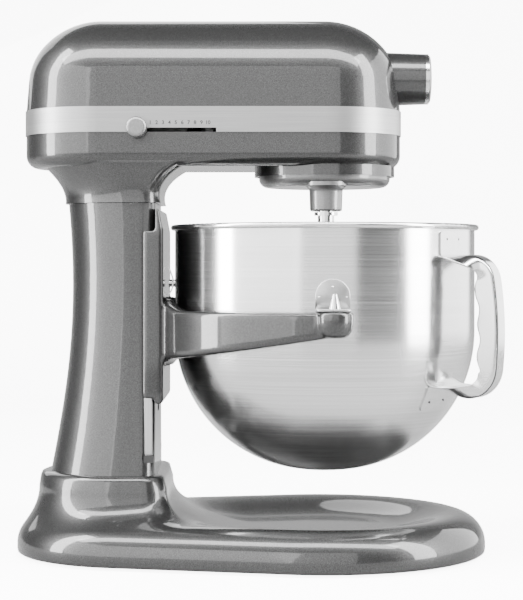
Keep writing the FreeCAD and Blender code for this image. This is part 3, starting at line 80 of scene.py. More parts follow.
def light_the_air():
    """The studio's far walls look as pale as the sweep but throw little light on the mixer."""
    tree = world.node_tree
    ray = tree.nodes.new("ShaderNodeLightPath")
    pale = tree.nodes.new("ShaderNodeBackground")
    pale.inputs["Strength"].default_value = WHITE_AIR
    choice = tree.nodes.new("ShaderNodeMixShader")
    tree.links.new(ray.outputs["Is Camera Ray"], choice.inputs["Fac"])
    tree.links.new(tree.nodes["Background"].outputs["Background"], choice.inputs[1])
    tree.links.new(pale.outputs["Background"], choice.inputs[2])
    tree.links.new(choice.outputs["Shader"], tree.nodes["World Output"].inputs["Surface"])


light_the_air()

CAMERA_HEIGHT = 0.2274
CAMERA_BACK = 1.450
camera = bpy.data.cameras.new("camera")
camera.lens = 109.4
camera.sensor_width = 36
camera.sensor_fit = "VERTICAL"
camera.sensor_height = 36
camera.shift_y = -0.0583
eye = bpy.data.objects.new("camera", camera)
eye.location = (0.004, -CAMERA_BACK, CAMERA_HEIGHT)
eye.rotation_euler = (math.radians(90), 0, 0)
bpy.context.scene.collection.objects.link(eye)
bpy.context.scene.camera = eye


def step(tree, kind, **settings):
    """Adds one shader node and sets its sockets and options by name."""
    node = tree.nodes.new("ShaderNode" + kind)
    for name, value in settings.items():
        socket = name.replace("_", " ")
        if socket in node.inputs:
            node.inputs[socket].default_value = value
        else:
            setattr(node, name, value)
    return node


def blank_finish(name):
    """A material with one empty Principled shader, returned with its node tree."""
    finish = bpy.data.materials.new(name)
    finish.use_nodes = True
    return finish, finish.node_tree, finish.node_tree.nodes["Principled BSDF"]


def ramp_stops(ramp, stops):
    """Sets a colour ramp's stops from (position, grey) pairs."""
    band = ramp.color_ramp
    while len(band.elements) > 1:
        band.elements.remove(band.elements[-1])
    band.elements[0].position = stops[0][0]
    band.elements[0].color = (*[stops[0][1]] * 3, 1)
    for position, grey in stops[1:]:
        band.elements.new(position).color = (*[grey] * 3, 1)


def floor_finish():
    """Pale painted sweep, lit to near white, that throws only a little light back at the mixer."""
    finish, tree, shader = blank_finish("pale_sweep")
    place = step(tree, "TexCoord")
    cloud = step(tree, "TexNoise", Scale=3.0, Detail=3.0)
    ramp = step(tree, "ValToRGB")
    ramp_stops(ramp, [(0.3, 0.86), (0.7, 0.9)])
    tree.links.new(place.outputs["Object"], cloud.inputs["Vector"])
    tree.links.new(cloud.outputs["Fac"], ramp.inputs["Fac"])
    tree.links.new(ramp.outputs["Color"], shader.inputs["Base Color"])
    tree.links.new(ramp.outputs["Color"], shader.inputs["Emission Color"])
    shader.inputs["Emission Strength"].default_value = WHITE_SWEEP
    shader.inputs["Roughness"].default_value = 0.6
    ray = step(tree, "LightPath")
    dull = step(tree, "BsdfDiffuse", Color=(0.34, 0.34, 0.34, 1))
    choice = step(tree, "MixShader")
    tree.links.new(ray.outputs["Is Camera Ray"], choice.inputs["Fac"])
    tree.links.new(dull.outputs["BSDF"], choice.inputs[1])
    tree.links.new(shader.outputs["BSDF"], choice.inputs[2])
    tree.links.new(choice.outputs["Shader"], tree.nodes["Material Output"].inputs["Surface"])
    return finish


def sweep():
    """Floor that turns up into a backdrop behind the mixer."""
    half_width = 4.0
    front = -4.0
    turn_start = 1.4
    turn_radius = 1.2
    wall_top = 4.0
    line = [(front, 0.0), (turn_start, 0.0)]
    for part in range(1, 17):
        angle = math.radians(90 * part / 16)
        line.append((turn_start + turn_radius * math.sin(angle), turn_radius * (1 - math.cos(angle))))
    line.append((turn_start + turn_radius, wall_top))
    mesh = bmesh.new()
    rows = [[mesh.verts.new((side, y, z)) for side in (-half_width, half_width)] for y, z in line]
    for low, high in zip(rows, rows[1:]):
        mesh.faces.new((low[0], low[1], high[1], high[0])).smooth = True
    data = bpy.data.meshes.new("sweep")
    mesh.to_mesh(data)
    mesh.free()
    cloth = bpy.data.objects.new("sweep", data)
    bpy.context.scene.collection.objects.link(cloth)
    data.materials.append(floor_finish())


sweep()


# ---- base casting ----
# One heavy die casting with a shallow dish under the bowl and a lipped boss for the column.
# It is sprayed with a dark grey paint full of fine metal flakes under a clear coat.

def flake_paint(name, dark, light, roughness=0.33):
    """Metallic flake paint: small bright flakes in a grey coat, a clear coat and a little orange peel."""
    finish, tree, shader = blank_finish(name)
    place = step(tree, "TexCoord")
    flake = step(tree, "TexVoronoi", Scale=2600.0)
    fine = step(tree, "TexVoronoi", Scale=5200.0)
    both = step(tree, "Mix", data_type="RGBA", Factor=0.5)
    grey = step(tree, "RGBToBW")
    ramp = step(tree, "ValToRGB")
    ramp_stops(ramp, [(0.15, dark), (0.6, (dark + light) / 2), (0.9, light)])
    peel = step(tree, "TexNoise", Scale=420.0, Detail=2.0)
    bump = step(tree, "Bump", Strength=0.035, Distance=0.0004)
    cloud = step(tree, "TexNoise", Scale=9.0, Detail=4.0)
    rough = step(tree, "MapRange")
    rough.inputs["To Min"].default_value = roughness - 0.03
    rough.inputs["To Max"].default_value = roughness + 0.05
    for texture in (flake, fine, peel, cloud):
        tree.links.new(place.outputs["Object"], texture.inputs["Vector"])
    tree.links.new(flake.outputs["Color"], both.inputs[6])
    tree.links.new(fine.outputs["Color"], both.inputs[7])
    tree.links.new(both.outputs[2], grey.inputs["Color"])
    tree.links.new(grey.outputs["Val"], ramp.inputs["Fac"])
    tree.links.new(ramp.outputs["Color"], shader.inputs["Base Color"])
    tree.links.new(cloud.outputs["Fac"], rough.inputs["Value"])
    tree.links.new(rough.outputs["Result"], shader.inputs["Roughness"])
    tree.links.new(peel.outputs["Fac"], bump.inputs["Height"])
    tree.links.new(bump.outputs["Normal"], shader.inputs["Normal"])
    shader.inputs["Metallic"].default_value = 0.75
    shader.inputs["Specular Tint"].default_value = (0.3, 0.3, 0.3, 1)
    shader.inputs["Coat Weight"].default_value = 1.0
    shader.inputs["Coat IOR"].default_value = 1.45
    shader.inputs["Coat Roughness"].default_value = 0.05
    return finish


GREY_PAINT = flake_paint("grey_flake_paint", 0.018, 0.085)


def skin(rings, close_start=False, close_end=False):
    """A mesh stretched over closed rings of points, one ring after the other."""
    mesh = bmesh.new()
    loops = [[mesh.verts.new(point) for point in ring] for ring in rings]
    count = len(loops[0])
    for first, second in zip(loops, loops[1:]):
        for spot in range(count):
            beside = (spot + 1) % count
            mesh.faces.new((first[spot], first[beside], second[beside], second[spot]))
    if close_start:
        mesh.faces.new(list(reversed(loops[0])))
    if close_end:
        mesh.faces.new(loops[-1])
    bmesh.ops.recalc_face_normals(mesh, faces=mesh.faces)
    return mesh


def piece_from(name, mesh, finish, body, smooth=True):
    """Turns a bmesh into a named piece of the mixer that rides on a body."""
    for face in mesh.faces:
        face.smooth = smooth
    data = bpy.data.meshes.new(name)
    mesh.to_mesh(data)
    mesh.free()
    data.materials.append(finish)
    piece = bpy.data.objects.new(name, data)
    bpy.context.scene.collection.objects.link(piece)
    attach(piece, body)
    return piece


def reach(inside, centre, angle, furthest=0.4):
    """How far a ray runs from the centre before it leaves the shape."""
    near, far = 0.0, furthest
    for _ in range(34):
        middle = (near + far) / 2
        if inside(centre + middle * math.cos(angle), middle * math.sin(angle)):
            near = middle
        else:
            far = middle
    return near


BASE_LOW, BASE_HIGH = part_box("base_casting")
BASE_FRONT_ROUND = 0.1285
BASE_REAR_ROUND = 0.099
BASE_FRONT_X = BASE_HIGH.x - BASE_FRONT_ROUND
BASE_REAR_X = BASE_LOW.x + BASE_REAR_ROUND
BASE_ROUNDING = 0.023
BASE_CREST = BASE_LOW.z + 0.030
DISH_DEPTH = 0.011
DISH_START = 0.024
DISH_SLOPE = 0.052
DISH_REAR_X = -0.075
BOSS_TOP = BASE_HIGH.z
BOSS_CENTRE = BASE_LOW.x + 0.080
LIP_REAR = BASE_LOW.x + 0.0184
LIP_HALF = 0.0655
LIP_FRONT = BASE_LOW.x + 0.1189
BOSS_REAR = BASE_LOW.x + 0.0172
BOSS_HALF = 0.0668
BOSS_FRONT = BASE_LOW.x + 0.1209
BOSS_DROP = 0.012
WALL_STEPS = 12
SLOPE_STEPS = 26
EDGE_STEPS = 14


def base_inset(x, y):
    """Distance from a point inward to the base's edge: two rounds and their tangents."""
    span = BASE_FRONT_X - BASE_REAR_X
    lean = (BASE_FRONT_ROUND - BASE_REAR_ROUND) / span
    upright = math.sqrt(1 - lean * lean)
    across, along = abs(y), BASE_FRONT_X - x
    turn = -lean * across + upright * along
    if turn < 0:
        return BASE_FRONT_ROUND - math.hypot(across, along)
    if turn > upright * span:
        return BASE_REAR_ROUND - math.hypot(across, along - span)
    return BASE_FRONT_ROUND - (upright * across + lean * along)


def ease(value):
    """Smooth step from 0 to 1."""
    value = min(max(value, 0.0), 1.0)
    return value * value * (3 - 2 * value)


def base_height(x, y):
    """Height of the base without its boss: rounded edge, crest and shallow dish."""
    inset = base_inset(x, y)
    if inset < BASE_ROUNDING:
        over = BASE_ROUNDING - max(inset, 0.0)
        return BASE_CREST - BASE_ROUNDING + math.sqrt(BASE_ROUNDING ** 2 - over ** 2)
    dish = ease((inset - DISH_START) / DISH_SLOPE) * ease(1 - x / DISH_REAR_X)
    return BASE_CREST - DISH_DEPTH * dish


def boss_inside(rear, half, front, corner):
    """Test for the boss's D-shaped plan: a half round behind and a flat front with round corners."""
    centre = rear + half

    def test(x, y):
        y = abs(y)
        if x < centre:
            return math.hypot(x - centre, y) < half
        if x > front or y > half:
            return False
        if x > front - corner and y > half - corner:
            return math.hypot(x - front + corner, y - half + corner) < corner
        return True
    return test


def base_rings():
    """Rings from the boss's top outward, over the dish and the rounded edge, down to the floor gap."""
    lip = boss_inside(LIP_REAR, LIP_HALF, LIP_FRONT, 0.018)
    wall = boss_inside(BOSS_REAR, BOSS_HALF, BOSS_FRONT, 0.019)
    angles = [2 * math.pi * part / 360 for part in range(360)]
    rings = [[] for _ in range(5 + WALL_STEPS + SLOPE_STEPS + EDGE_STEPS + 3)]
    for angle in angles:
        forward = ease((math.cos(angle) + 0.1) / 1.0)
        lip_reach = reach(lip, BOSS_CENTRE, angle)
        wall_reach = reach(wall, BOSS_CENTRE, angle)
        edge_reach = reach(lambda x, y: base_inset(x, y) > 0, BOSS_CENTRE, angle)
        crest_reach = reach(lambda x, y: base_inset(x, y) > BASE_ROUNDING, BOSS_CENTRE, angle)
        spots = [(lip_reach - 0.012, BOSS_TOP), (lip_reach - 0.004, BOSS_TOP),
                 (lip_reach - 0.0012, BOSS_TOP - 0.0012), (lip_reach, BOSS_TOP - 0.004),
                 (wall_reach - 0.0002, BOSS_TOP - 0.0105)]
        sweep_width = 0.013 + 0.006 * (1 - abs(math.cos(angle))) + 0.024 * forward
        sweep_top = BOSS_TOP - BOSS_DROP
        first = wall_reach + min(sweep_width, 0.55 * (edge_reach - wall_reach))
        second = max(crest_reach, wall_reach + 0.7 * (edge_reach - wall_reach))

        def with_sweep(radius):
            x = BOSS_CENTRE + radius * math.cos(angle)
            y = radius * math.sin(angle)
            low = base_height(x, y)
            left = max(0.0, 1 - (radius - wall_reach) / sweep_width)
            return low + (sweep_top - low) * (1 - math.sqrt(1 - left * left))

        radii = [wall_reach + (first - wall_reach) * (part / WALL_STEPS) ** 2 for part in range(WALL_STEPS)]
        radii += [first + (second - first) * part / SLOPE_STEPS for part in range(SLOPE_STEPS)]
        radii += [second + (edge_reach - second) * math.sin(math.pi / 2 * part / (EDGE_STEPS - 1))
                  for part in range(EDGE_STEPS)]
        spots += [(radius, with_sweep(radius)) for radius in radii]
        spots += [(edge_reach, BASE_LOW.z + 0.003), (edge_reach - 0.0004, BASE_LOW.z + 0.001),
                  (edge_reach - 0.002, BASE_LOW.z)]
        for ring, (radius, height) in zip(rings, spots):
            ring.append((BOSS_CENTRE + radius * math.cos(angle), radius * math.sin(angle), height))
    return rings


base_skin = skin(base_rings(), close_start=True, close_end=True)
base_piece = piece_from("base_casting_skin", base_skin, GREY_PAINT, "frame")
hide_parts("base_casting")


# ---- base bottom cover, rubber feet and cord gland ----
# A thin black plastic cover closes the casting from below, and five soft rubber feet plug into it.
# The rubber gland in the casting's far side is where a power cord would go in.

def moulded(name, low, high, roughness, grain, depth):
    """Moulded rubber or plastic with fine grain."""
    finish, tree, shader = blank_finish(name)
    place = step(tree, "TexCoord")
    cloud = step(tree, "TexNoise", Scale=60.0, Detail=5.0)
    pebble = step(tree, "TexNoise", Scale=grain, Detail=3.0)
    ramp = step(tree, "ValToRGB")
    ramp_stops(ramp, [(0.3, low), (0.7, high)])
    rough = step(tree, "MapRange")
    rough.inputs["To Min"].default_value = roughness - 0.06
    rough.inputs["To Max"].default_value = roughness + 0.06
    bump = step(tree, "Bump", Strength=depth, Distance=0.0004)
    tree.links.new(place.outputs["Object"], cloud.inputs["Vector"])
    tree.links.new(place.outputs["Object"], pebble.inputs["Vector"])
    tree.links.new(cloud.outputs["Fac"], ramp.inputs["Fac"])
    tree.links.new(ramp.outputs["Color"], shader.inputs["Base Color"])
    tree.links.new(pebble.outputs["Fac"], rough.inputs["Value"])
    tree.links.new(rough.outputs["Result"], shader.inputs["Roughness"])
    tree.links.new(pebble.outputs["Fac"], bump.inputs["Height"])
    tree.links.new(bump.outputs["Normal"], shader.inputs["Normal"])
    return finish


def wear(node_name, finish):
    """Gives a CAD node this one finish."""
    slots = nodes[node_name].data.materials
    for index in range(len(slots)):
        slots[index] = finish
    if not slots:
        slots.append(finish)


BLACK_RUBBER = moulded("black_rubber", 0.012, 0.026, 0.62, 1500.0, 0.3)
BLACK_PLASTIC = moulded("black_plastic", 0.015, 0.03, 0.45, 900.0, 0.15)
wear("base_bottom_cover", BLACK_PLASTIC)
wear("base_feet", BLACK_RUBBER)
wear("cord_gland", BLACK_RUBBER)


# ---- column casting with its bolts ----
# A hollow D-shaped die casting with a flat front, sprayed with the same paint as the base.
# Four steel bolts join it to the base's boss.

def machined(name, low, high, roughness, stretch, depth=0.08):
    """Turned, ground or brushed metal: streaks along one direction, set by the stretch of x, y, z."""
    finish, tree, shader = blank_finish(name)
    place = step(tree, "TexCoord")
    lie = step(tree, "Mapping")
    lie.inputs["Scale"].default_value = stretch
    streak = step(tree, "TexNoise", Scale=1.0, Detail=6.0, Roughness=0.65)
    ramp = step(tree, "ValToRGB")
    ramp_stops(ramp, [(0.3, low), (0.7, high)])
    rough = step(tree, "MapRange")
    rough.inputs["To Min"].default_value = roughness - 0.05
    rough.inputs["To Max"].default_value = roughness + 0.08
    bump = step(tree, "Bump", Strength=depth, Distance=0.0002)
    tree.links.new(place.outputs["Object"], lie.inputs["Vector"])
    tree.links.new(lie.outputs["Vector"], streak.inputs["Vector"])
    tree.links.new(streak.outputs["Fac"], ramp.inputs["Fac"])
    tree.links.new(ramp.outputs["Color"], shader.inputs["Base Color"])
    tree.links.new(streak.outputs["Fac"], rough.inputs["Value"])
    tree.links.new(rough.outputs["Result"], shader.inputs["Roughness"])
    tree.links.new(streak.outputs["Fac"], bump.inputs["Height"])
    tree.links.new(bump.outputs["Normal"], shader.inputs["Normal"])
    shader.inputs["Metallic"].default_value = 1.0
    return finish


MACHINE_STEEL = machined("machine_steel", 0.42, 0.58, 0.32, (600, 600, 600))
wear("column_casting", GREY_PAINT)
wear("column_bolts", MACHINE_STEEL)


# ---- guide rails and their stops ----
# Two extruded aluminium strips sit in the column's front corners, and the yoke slides on them.
# A black plastic stop closes the lower end of each.

RAIL_ALLOY = machined("rail_alloy", 0.5, 0.66, 0.34, (1500, 1500, 12))
RAIL_LOW, RAIL_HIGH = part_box("guide_rails")
RAIL_TOP = 0.2494
RAIL_DEEP = 0.0049
RAIL_CHAMFER = 0.0006


def rounded_bar(width, height, corner, steps=5):
    """Corner-rounded rectangle round the middle, as (across, up) points."""
    points = []
    for quarter, (side, up) in enumerate(((1, 1), (-1, 1), (-1, -1), (1, -1))):
        for part in range(steps + 1):
            angle = math.pi / 2 * (quarter + part / steps)
            points.append((side * (width / 2 - corner) + corner * math.cos(angle),
                           up * (height / 2 - corner) + corner * math.sin(angle)))
    return points


def joined(meshes):
    """One bmesh made of several."""
    whole = bmesh.new()
    for mesh in meshes:
        data = bpy.data.meshes.new("part")
        mesh.to_mesh(data)
        mesh.free()
        whole.from_mesh(data)
        bpy.data.meshes.remove(data)
    return whole


def rail(side):
    """One strip with chamfered edges. Its upper end stays hidden behind the yoke's flange."""
    middle_x = (RAIL_LOW.x + RAIL_HIGH.x) / 2
    middle_y = side * (RAIL_HIGH.y - 0.0009 - RAIL_DEEP / 2)
    rings = []
    for height, shrink in ((RAIL_LOW.z, 0.92), (RAIL_LOW.z + RAIL_CHAMFER, 1.0),
                           (RAIL_TOP - RAIL_CHAMFER, 1.0), (RAIL_TOP, 0.92)):
        rings.append([(middle_x + across * shrink, middle_y + up * shrink, height)
                      for across, up in rounded_bar(RAIL_HIGH.x - RAIL_LOW.x, RAIL_DEEP, RAIL_CHAMFER, 3)])
    return skin(rings, close_start=True, close_end=True)


rails_piece = piece_from("guide_rail_strips", joined([rail(-1), rail(1)]), RAIL_ALLOY, "frame")
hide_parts("guide_rails")
wear("rail_stops", BLACK_PLASTIC)


# ---- bowl yoke and its pins ----
# A painted die casting that slides on the rails and carries the bowl on two long arms.
# A polished steel pin, tapered at its top, is pressed into the cup at the end of each arm.

BRIGHT_STEEL = machined("bright_steel", 0.62, 0.78, 0.16, (300, 300, 900), 0.03)
YOKE_LOW, YOKE_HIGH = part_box("bowl_yoke")
PIN_LOW, PIN_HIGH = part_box("yoke_pins")
BOWL_AXIS = (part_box("planetary_housing")[0].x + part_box("planetary_housing")[1].x) / 2
ARM_TOP = PIN_LOW.z
ARM_INNER = 0.1242
ARM_OUTER = 0.1368
ARM_LOW = 0.1545
ARM_TIP_RISE = 0.0205
ARM_CORNER = 0.0032
WEB_FRONT = YOKE_LOW.x + 0.0157
WEB_THICK = 0.0065
WEB_WIDE = 0.1190
FLANGE_LOW = 0.1255
FLANGE_TOP = 0.2535
FLANGE_INNER = 0.0543
FLANGE_OUTER = 0.0598
TIP_X = (PIN_LOW.x + PIN_HIGH.x) / 2
TIP_Y = YOKE_HIGH.y - 0.0139


def yoke_arm(side):
    """One arm: a deep bar round the bowl that gets shallower to its tip and swells up into the web."""
    rings = []
    stretch = 64
    start = math.acos((WEB_FRONT - 0.004 - BOWL_AXIS) / ARM_OUTER)
    finish_angle = math.acos((TIP_X - 0.006 - BOWL_AXIS) / ARM_OUTER)
    for part in range(stretch + 1):
        angle = start + (finish_angle - start) * part / stretch
        middle = (ARM_INNER + ARM_OUTER) / 2
        x = BOWL_AXIS + middle * math.cos(angle)
        along = (x - WEB_FRONT) / (TIP_X - WEB_FRONT)
        rise = max(0.0, 1 - (x - WEB_FRONT + 0.005) / 0.024)
        top = ARM_TOP - 0.0004 + 0.030 * (1 - math.sqrt(1 - min(rise, 0.999) ** 2))
        drop = max(0.0, 1 - (x - WEB_FRONT) / 0.012)
        low = ARM_LOW + ARM_TIP_RISE * along - 0.012 * (1 - math.sqrt(1 - min(drop, 0.999) ** 2))
        ring = []
        for across, up in rounded_bar(ARM_OUTER - ARM_INNER, top - low, ARM_CORNER):
            radius = middle + across
            ring.append((BOWL_AXIS + radius * math.cos(angle), side * radius * math.sin(angle),
                         (top + low) / 2 + up))
        rings.append(ring)
    return skin(rings, close_start=True, close_end=True)


def yoke_tip(side):
    """Cup at the end of an arm: a round boss with a flat top and a domed underside."""
    profile = [(0.0065, 0.1744), (0.0098, 0.1756), (0.0124, 0.1790), (0.0134, 0.1838),
               (0.0136, 0.1895), (0.0134, ARM_TOP - 0.0008), (0.0126, ARM_TOP)]
    rings = []
    for radius, height in profile:
        ring = []
        for part in range(48):
            angle = 2 * math.pi * part / 48
            ring.append((TIP_X + radius * math.cos(angle), side * TIP_Y + radius * math.sin(angle), height))
        rings.append(ring)
    return skin(rings, close_start=True, close_end=True)


def plate(outline, low_y, high_y):
    """A flat plate cut to an outline of (x, z) points."""
    rings = [[(x, y, z) for x, z in outline] for y in (low_y, high_y)]
    return skin(rings, close_start=True, close_end=True)


def merged(name, meshes, voxel, smoothing, finish, body):
    """Casts several closed meshes into one piece with softly rounded inner and outer corners."""
    piece = piece_from(name, joined(meshes), finish, body)
    melt = piece.modifiers.new("melt", "REMESH")
    melt.mode = "VOXEL"
    melt.voxel_size = voxel
    melt.use_smooth_shade = True
    soften = piece.modifiers.new("soften", "SMOOTH")
    soften.factor = 0.5
    soften.iterations = smoothing
    return piece


def yoke_meshes():
    """The yoke's two arms and cups, the web across the column and the flanges that hold the rails."""
    meshes = []
    for side in (-1, 1):
        meshes.append(yoke_arm(side))
        meshes.append(yoke_tip(side))
        front = WEB_FRONT - 0.005
        flange = [(YOKE_LOW.x, FLANGE_LOW), (front - 0.001, FLANGE_LOW), (front, FLANGE_LOW + 0.002),
                  (front, FLANGE_TOP - 0.002), (front - 0.002, FLANGE_TOP), (YOKE_LOW.x, FLANGE_TOP)]
        low_y, high_y = sorted((side * FLANGE_INNER, side * FLANGE_OUTER))
        meshes.append(plate(flange, low_y, high_y))
    web_back = WEB_FRONT - 0.0002 - WEB_THICK
    rings = []
    for height, rear, front in ((YOKE_LOW.z, 0.0, 0.001), (YOKE_LOW.z + 0.003, 0.0, 0.0002),
                                (YOKE_HIGH.z - 0.017, 0.0, 0.0002), (YOKE_HIGH.z, 0.0004, 0.0035)):
        thick = WEB_FRONT - front - web_back - rear
        rings.append([(web_back + rear + thick / 2 + across, up, height)
                      for across, up in rounded_bar(thick, WEB_WIDE, thick / 2 - 0.0001, 4)])
    meshes.append(skin(rings, close_start=True, close_end=True))
    return meshes


yoke_piece = merged("bowl_yoke_casting", yoke_meshes(), 0.0014, 6, GREY_PAINT, "yoke")
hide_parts("bowl_yoke")
wear("yoke_pins", BRIGHT_STEEL)


# ---- bowl latch spring ----
# Two thin prongs of spring steel, fixed to the yoke's web, snap over the pin at the back of
# the bowl and keep it down while it is mixed in.

LATCH_LOW, LATCH_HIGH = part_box("bowl_latch_spring")


def latch_prong(side):
    """A strip bent outward over the pin and back again at its free end."""
    depth = LATCH_HIGH.x - LATCH_LOW.x
    height = LATCH_HIGH.z - LATCH_LOW.z
    bends = [(0.02, 0.0), (0.30, 0.05), (0.62, 0.16), (0.86, 0.34), (0.95, 0.50), (0.84, 0.62),
             (0.50, 0.84), (0.18, 1.0)]
    thin = 0.0004
    low_y, high_y = sorted((side * (LATCH_HIGH.y - 0.0015), side * LATCH_HIGH.y))
    rings = []
    for out, up in bends:
        x = LATCH_LOW.x + thin + out * (depth - 2 * thin)
        z = LATCH_LOW.z + thin + up * (height - 2 * thin)
        rings.append([(x - thin, low_y, z), (x + thin, low_y, z),
                      (x + thin, high_y, z), (x - thin, high_y, z)])
    return skin(rings, close_start=True, close_end=True)


latch_piece = piece_from("bowl_latch_prongs", joined([latch_prong(-1), latch_prong(1)]), BRIGHT_STEEL,
                         "yoke", smooth=False)
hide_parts("bowl_latch_spring")


# ---- lift lever, shaft, crank and knob ----
# The bright steel lever on the far side ends in a black plastic knob. It turns a steel shaft
# that runs in a plastic bush through the column, and the crank on the shaft raises the yoke.

wear("lift_lever", BRIGHT_STEEL)
wear("lift_knob", BLACK_PLASTIC)
wear("lift_shaft", MACHINE_STEEL)
wear("lift_crank", MACHINE_STEEL)
wear("lift_bush", BLACK_PLASTIC)


# ---- head lower housing ----
# The painted die casting that carries the motor and the gears. Four screws inside its neck hold
# it down on the column.

wear("head_lower_housing", GREY_PAINT)
wear("head_screws", MACHINE_STEEL)


# ---- motor, gears and control board inside the head ----
# A brushed motor behind, a die-cast gearcase in front, and steel gears that turn the planetary
# and the attachment hub. None of it shows from outside while the head is closed.

CASE_ALLOY = machined("case_alloy", 0.38, 0.55, 0.5, (240, 240, 240), 0.3)
BRONZE = machined("bearing_bronze", 0.4, 0.55, 0.35, (500, 500, 500))
MAGNET = moulded("magnet_ferrite", 0.03, 0.07, 0.6, 700.0, 0.2)
BOARD = moulded("circuit_board", 0.02, 0.05, 0.4, 500.0, 0.1)
for part in ("motor_can", "motor_end_bell", "gearcase"):
    wear(part, CASE_ALLOY)
for part in ("rotor_core", "commutator", "motor_shaft", "motor_pinion", "reduction_gear", "jackshaft",
             "rear_bevel_pinion", "hub_bevel_pinion", "hub_drive_shaft", "centre_shaft",
             "centre_shaft_pin", "centre_bevel_gear", "planet_pinion", "planetary_ring_gear"):
    wear(part, MACHINE_STEEL)
for part in ("motor_bearings", "gearcase_bearings", "hub_bush"):
    wear(part, BRONZE)
wear("field_magnets", MAGNET)
wear("carbon_brushes", BLACK_PLASTIC)
wear("cooling_fan", BLACK_PLASTIC)
wear("control_board", BOARD)


# ---- trim band, speed knob and its arm ----
# A brushed metal band wraps the head over the joint between its two castings. The satin knob
# slides along a slot in it, on a black plastic arm behind the band.

BAND_METAL = machined("brushed_band", 0.29, 0.40, 0.40, (14, 14, 2600), 0.1)
KNOB_METAL = machined("satin_knob", 0.20, 0.28, 0.42, (700, 700, 700))
wear("trim_band", BAND_METAL)
wear("speed_knob", KNOB_METAL)
wear("speed_lever_arm", BLACK_PLASTIC)


# ---- speed scale ----
# Small dark numbers from 1 to 10, printed in black ink on the band above the speed knob's slot.
# They are generic marks, evenly spaced from the knob's slow end to its fast end.

PRINT_INK = moulded("scale_ink", 0.02, 0.035, 0.5, 900.0, 0.05)
BAND_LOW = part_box("trim_band")[0]
KNOB_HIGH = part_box("speed_knob")[1]


def speed_scale():
    """The ten numbers, a hair proud of the band."""
    first = KNOB_HIGH.x + 0.0022
    pitch = 0.00488
    size = 0.0040
    for number in range(1, 11):
        words = bpy.data.curves.new("speed_number_%d" % number, "FONT")
        words.body = str(number)
        words.size = size
        words.align_x = "CENTER"
        words.extrude = 0.0001
        words.offset = 0.00009
        mark = bpy.data.objects.new("speed_number_%d" % number, words)
        mark.location = (first + pitch * (number - 1), BAND_LOW.y - 0.00002, KNOB_HIGH.z - 0.0050)
        mark.rotation_euler = (math.radians(90), 0, 0)
        words.materials.append(PRINT_INK)
        bpy.context.scene.collection.objects.link(mark)
        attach(mark, "frame")


speed_scale()


# ---- head top cover and attachment hub ----
# The painted cover closes the head from above and carries the hub's barrel at its nose. A bright
# ring and a satin cap finish the barrel, and a black thumb knob on the far side clamps attachments.

wear("head_top_cover", GREY_PAINT)
wear("hub_trim_ring", BRIGHT_STEEL)
wear("hub_cap", KNOB_METAL)
wear("attachment_knob", BLACK_PLASTIC)


# ---- planetary ----
# The round housing under the nose turns once round while the bright steel beater shaft in its boss
# turns the other way. It has a lighter satin paint than the castings.

PLANETARY_PAINT = flake_paint("planetary_satin", 0.10, 0.22, 0.42)
wear("planetary_housing", PLANETARY_PAINT)
wear("beater_shaft", BRIGHT_STEEL)
wear("beater_pin", BRIGHT_STEEL)
wear("shaft_washer", BRIGHT_STEEL)


# ---- bowl ----
# Pressed from one sheet of stainless steel with a rolled rim, then brushed round its axis, so
# that its highlights stretch up and down. It hangs on the yoke by its two ears and its rear pin.

def turned_sheet(name, low, high, roughness, stretch, depth, pull):
    """Steel brushed round the Z axis, which pulls its highlights out across the brush marks."""
    finish = machined(name, low, high, roughness, stretch, depth)
    tree = finish.node_tree
    shader = tree.nodes["Principled BSDF"]
    around = step(tree, "Tangent", direction_type="RADIAL", axis="Z")
    tree.links.new(around.outputs["Tangent"], shader.inputs["Tangent"])
    shader.inputs["Anisotropic"].default_value = pull
    shader.inputs["Anisotropic Rotation"].default_value = 0.25
    return finish


BOWL_STEEL = turned_sheet("bowl_brushed_steel", 0.56, 0.78, 0.20, (5, 5, 1100), 0.14, 0.75)
wear("bowl_shell", BOWL_STEEL)


# ---- bowl ears and their weld spots ----
# Two bent lugs of satin steel are spot-welded to the bowl's sides, and their holes sit on the
# yoke's tapered pins. A short round pin at the back catches under the latch spring.

EAR_STEEL = machined("ear_satin_steel", 0.34, 0.42, 0.38, (500, 500, 500), 0.05)
wear("bowl_rear_pin", BRIGHT_STEEL)
SHELL_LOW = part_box("bowl_shell")[0]
EAR_LOW, EAR_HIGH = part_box("bowl_ears")
WALL_RADIUS = 0.1187
EAR_SPOT_HIGH = 0.2115
EAR_SPOT_LOW = 0.2040
EAR_SPOT_APART = 0.0098


def weld_spot(azimuth, height, radius, stand=0.0):
    """A small domed weld mark on the bowl's wall, facing outward."""
    outward = Vector((math.cos(azimuth), math.sin(azimuth), 0))
    beside = Vector((-math.sin(azimuth), math.cos(azimuth), 0))
    middle = Vector((BOWL_AXIS, 0, height)) + outward * (WALL_RADIUS + stand)
    rings = []
    for width, rise in ((1.0, 0.0), (0.85, 0.00022), (0.5, 0.0004), (0.12, 0.00046)):
        ring = []
        for part in range(14):
            angle = 2 * math.pi * part / 14
            ring.append(middle + outward * rise + radius * width
                        * (beside * math.cos(angle) + Vector((0, 0, 1)) * math.sin(angle)))
        rings.append(ring)
    return skin(rings, close_start=True, close_end=True)


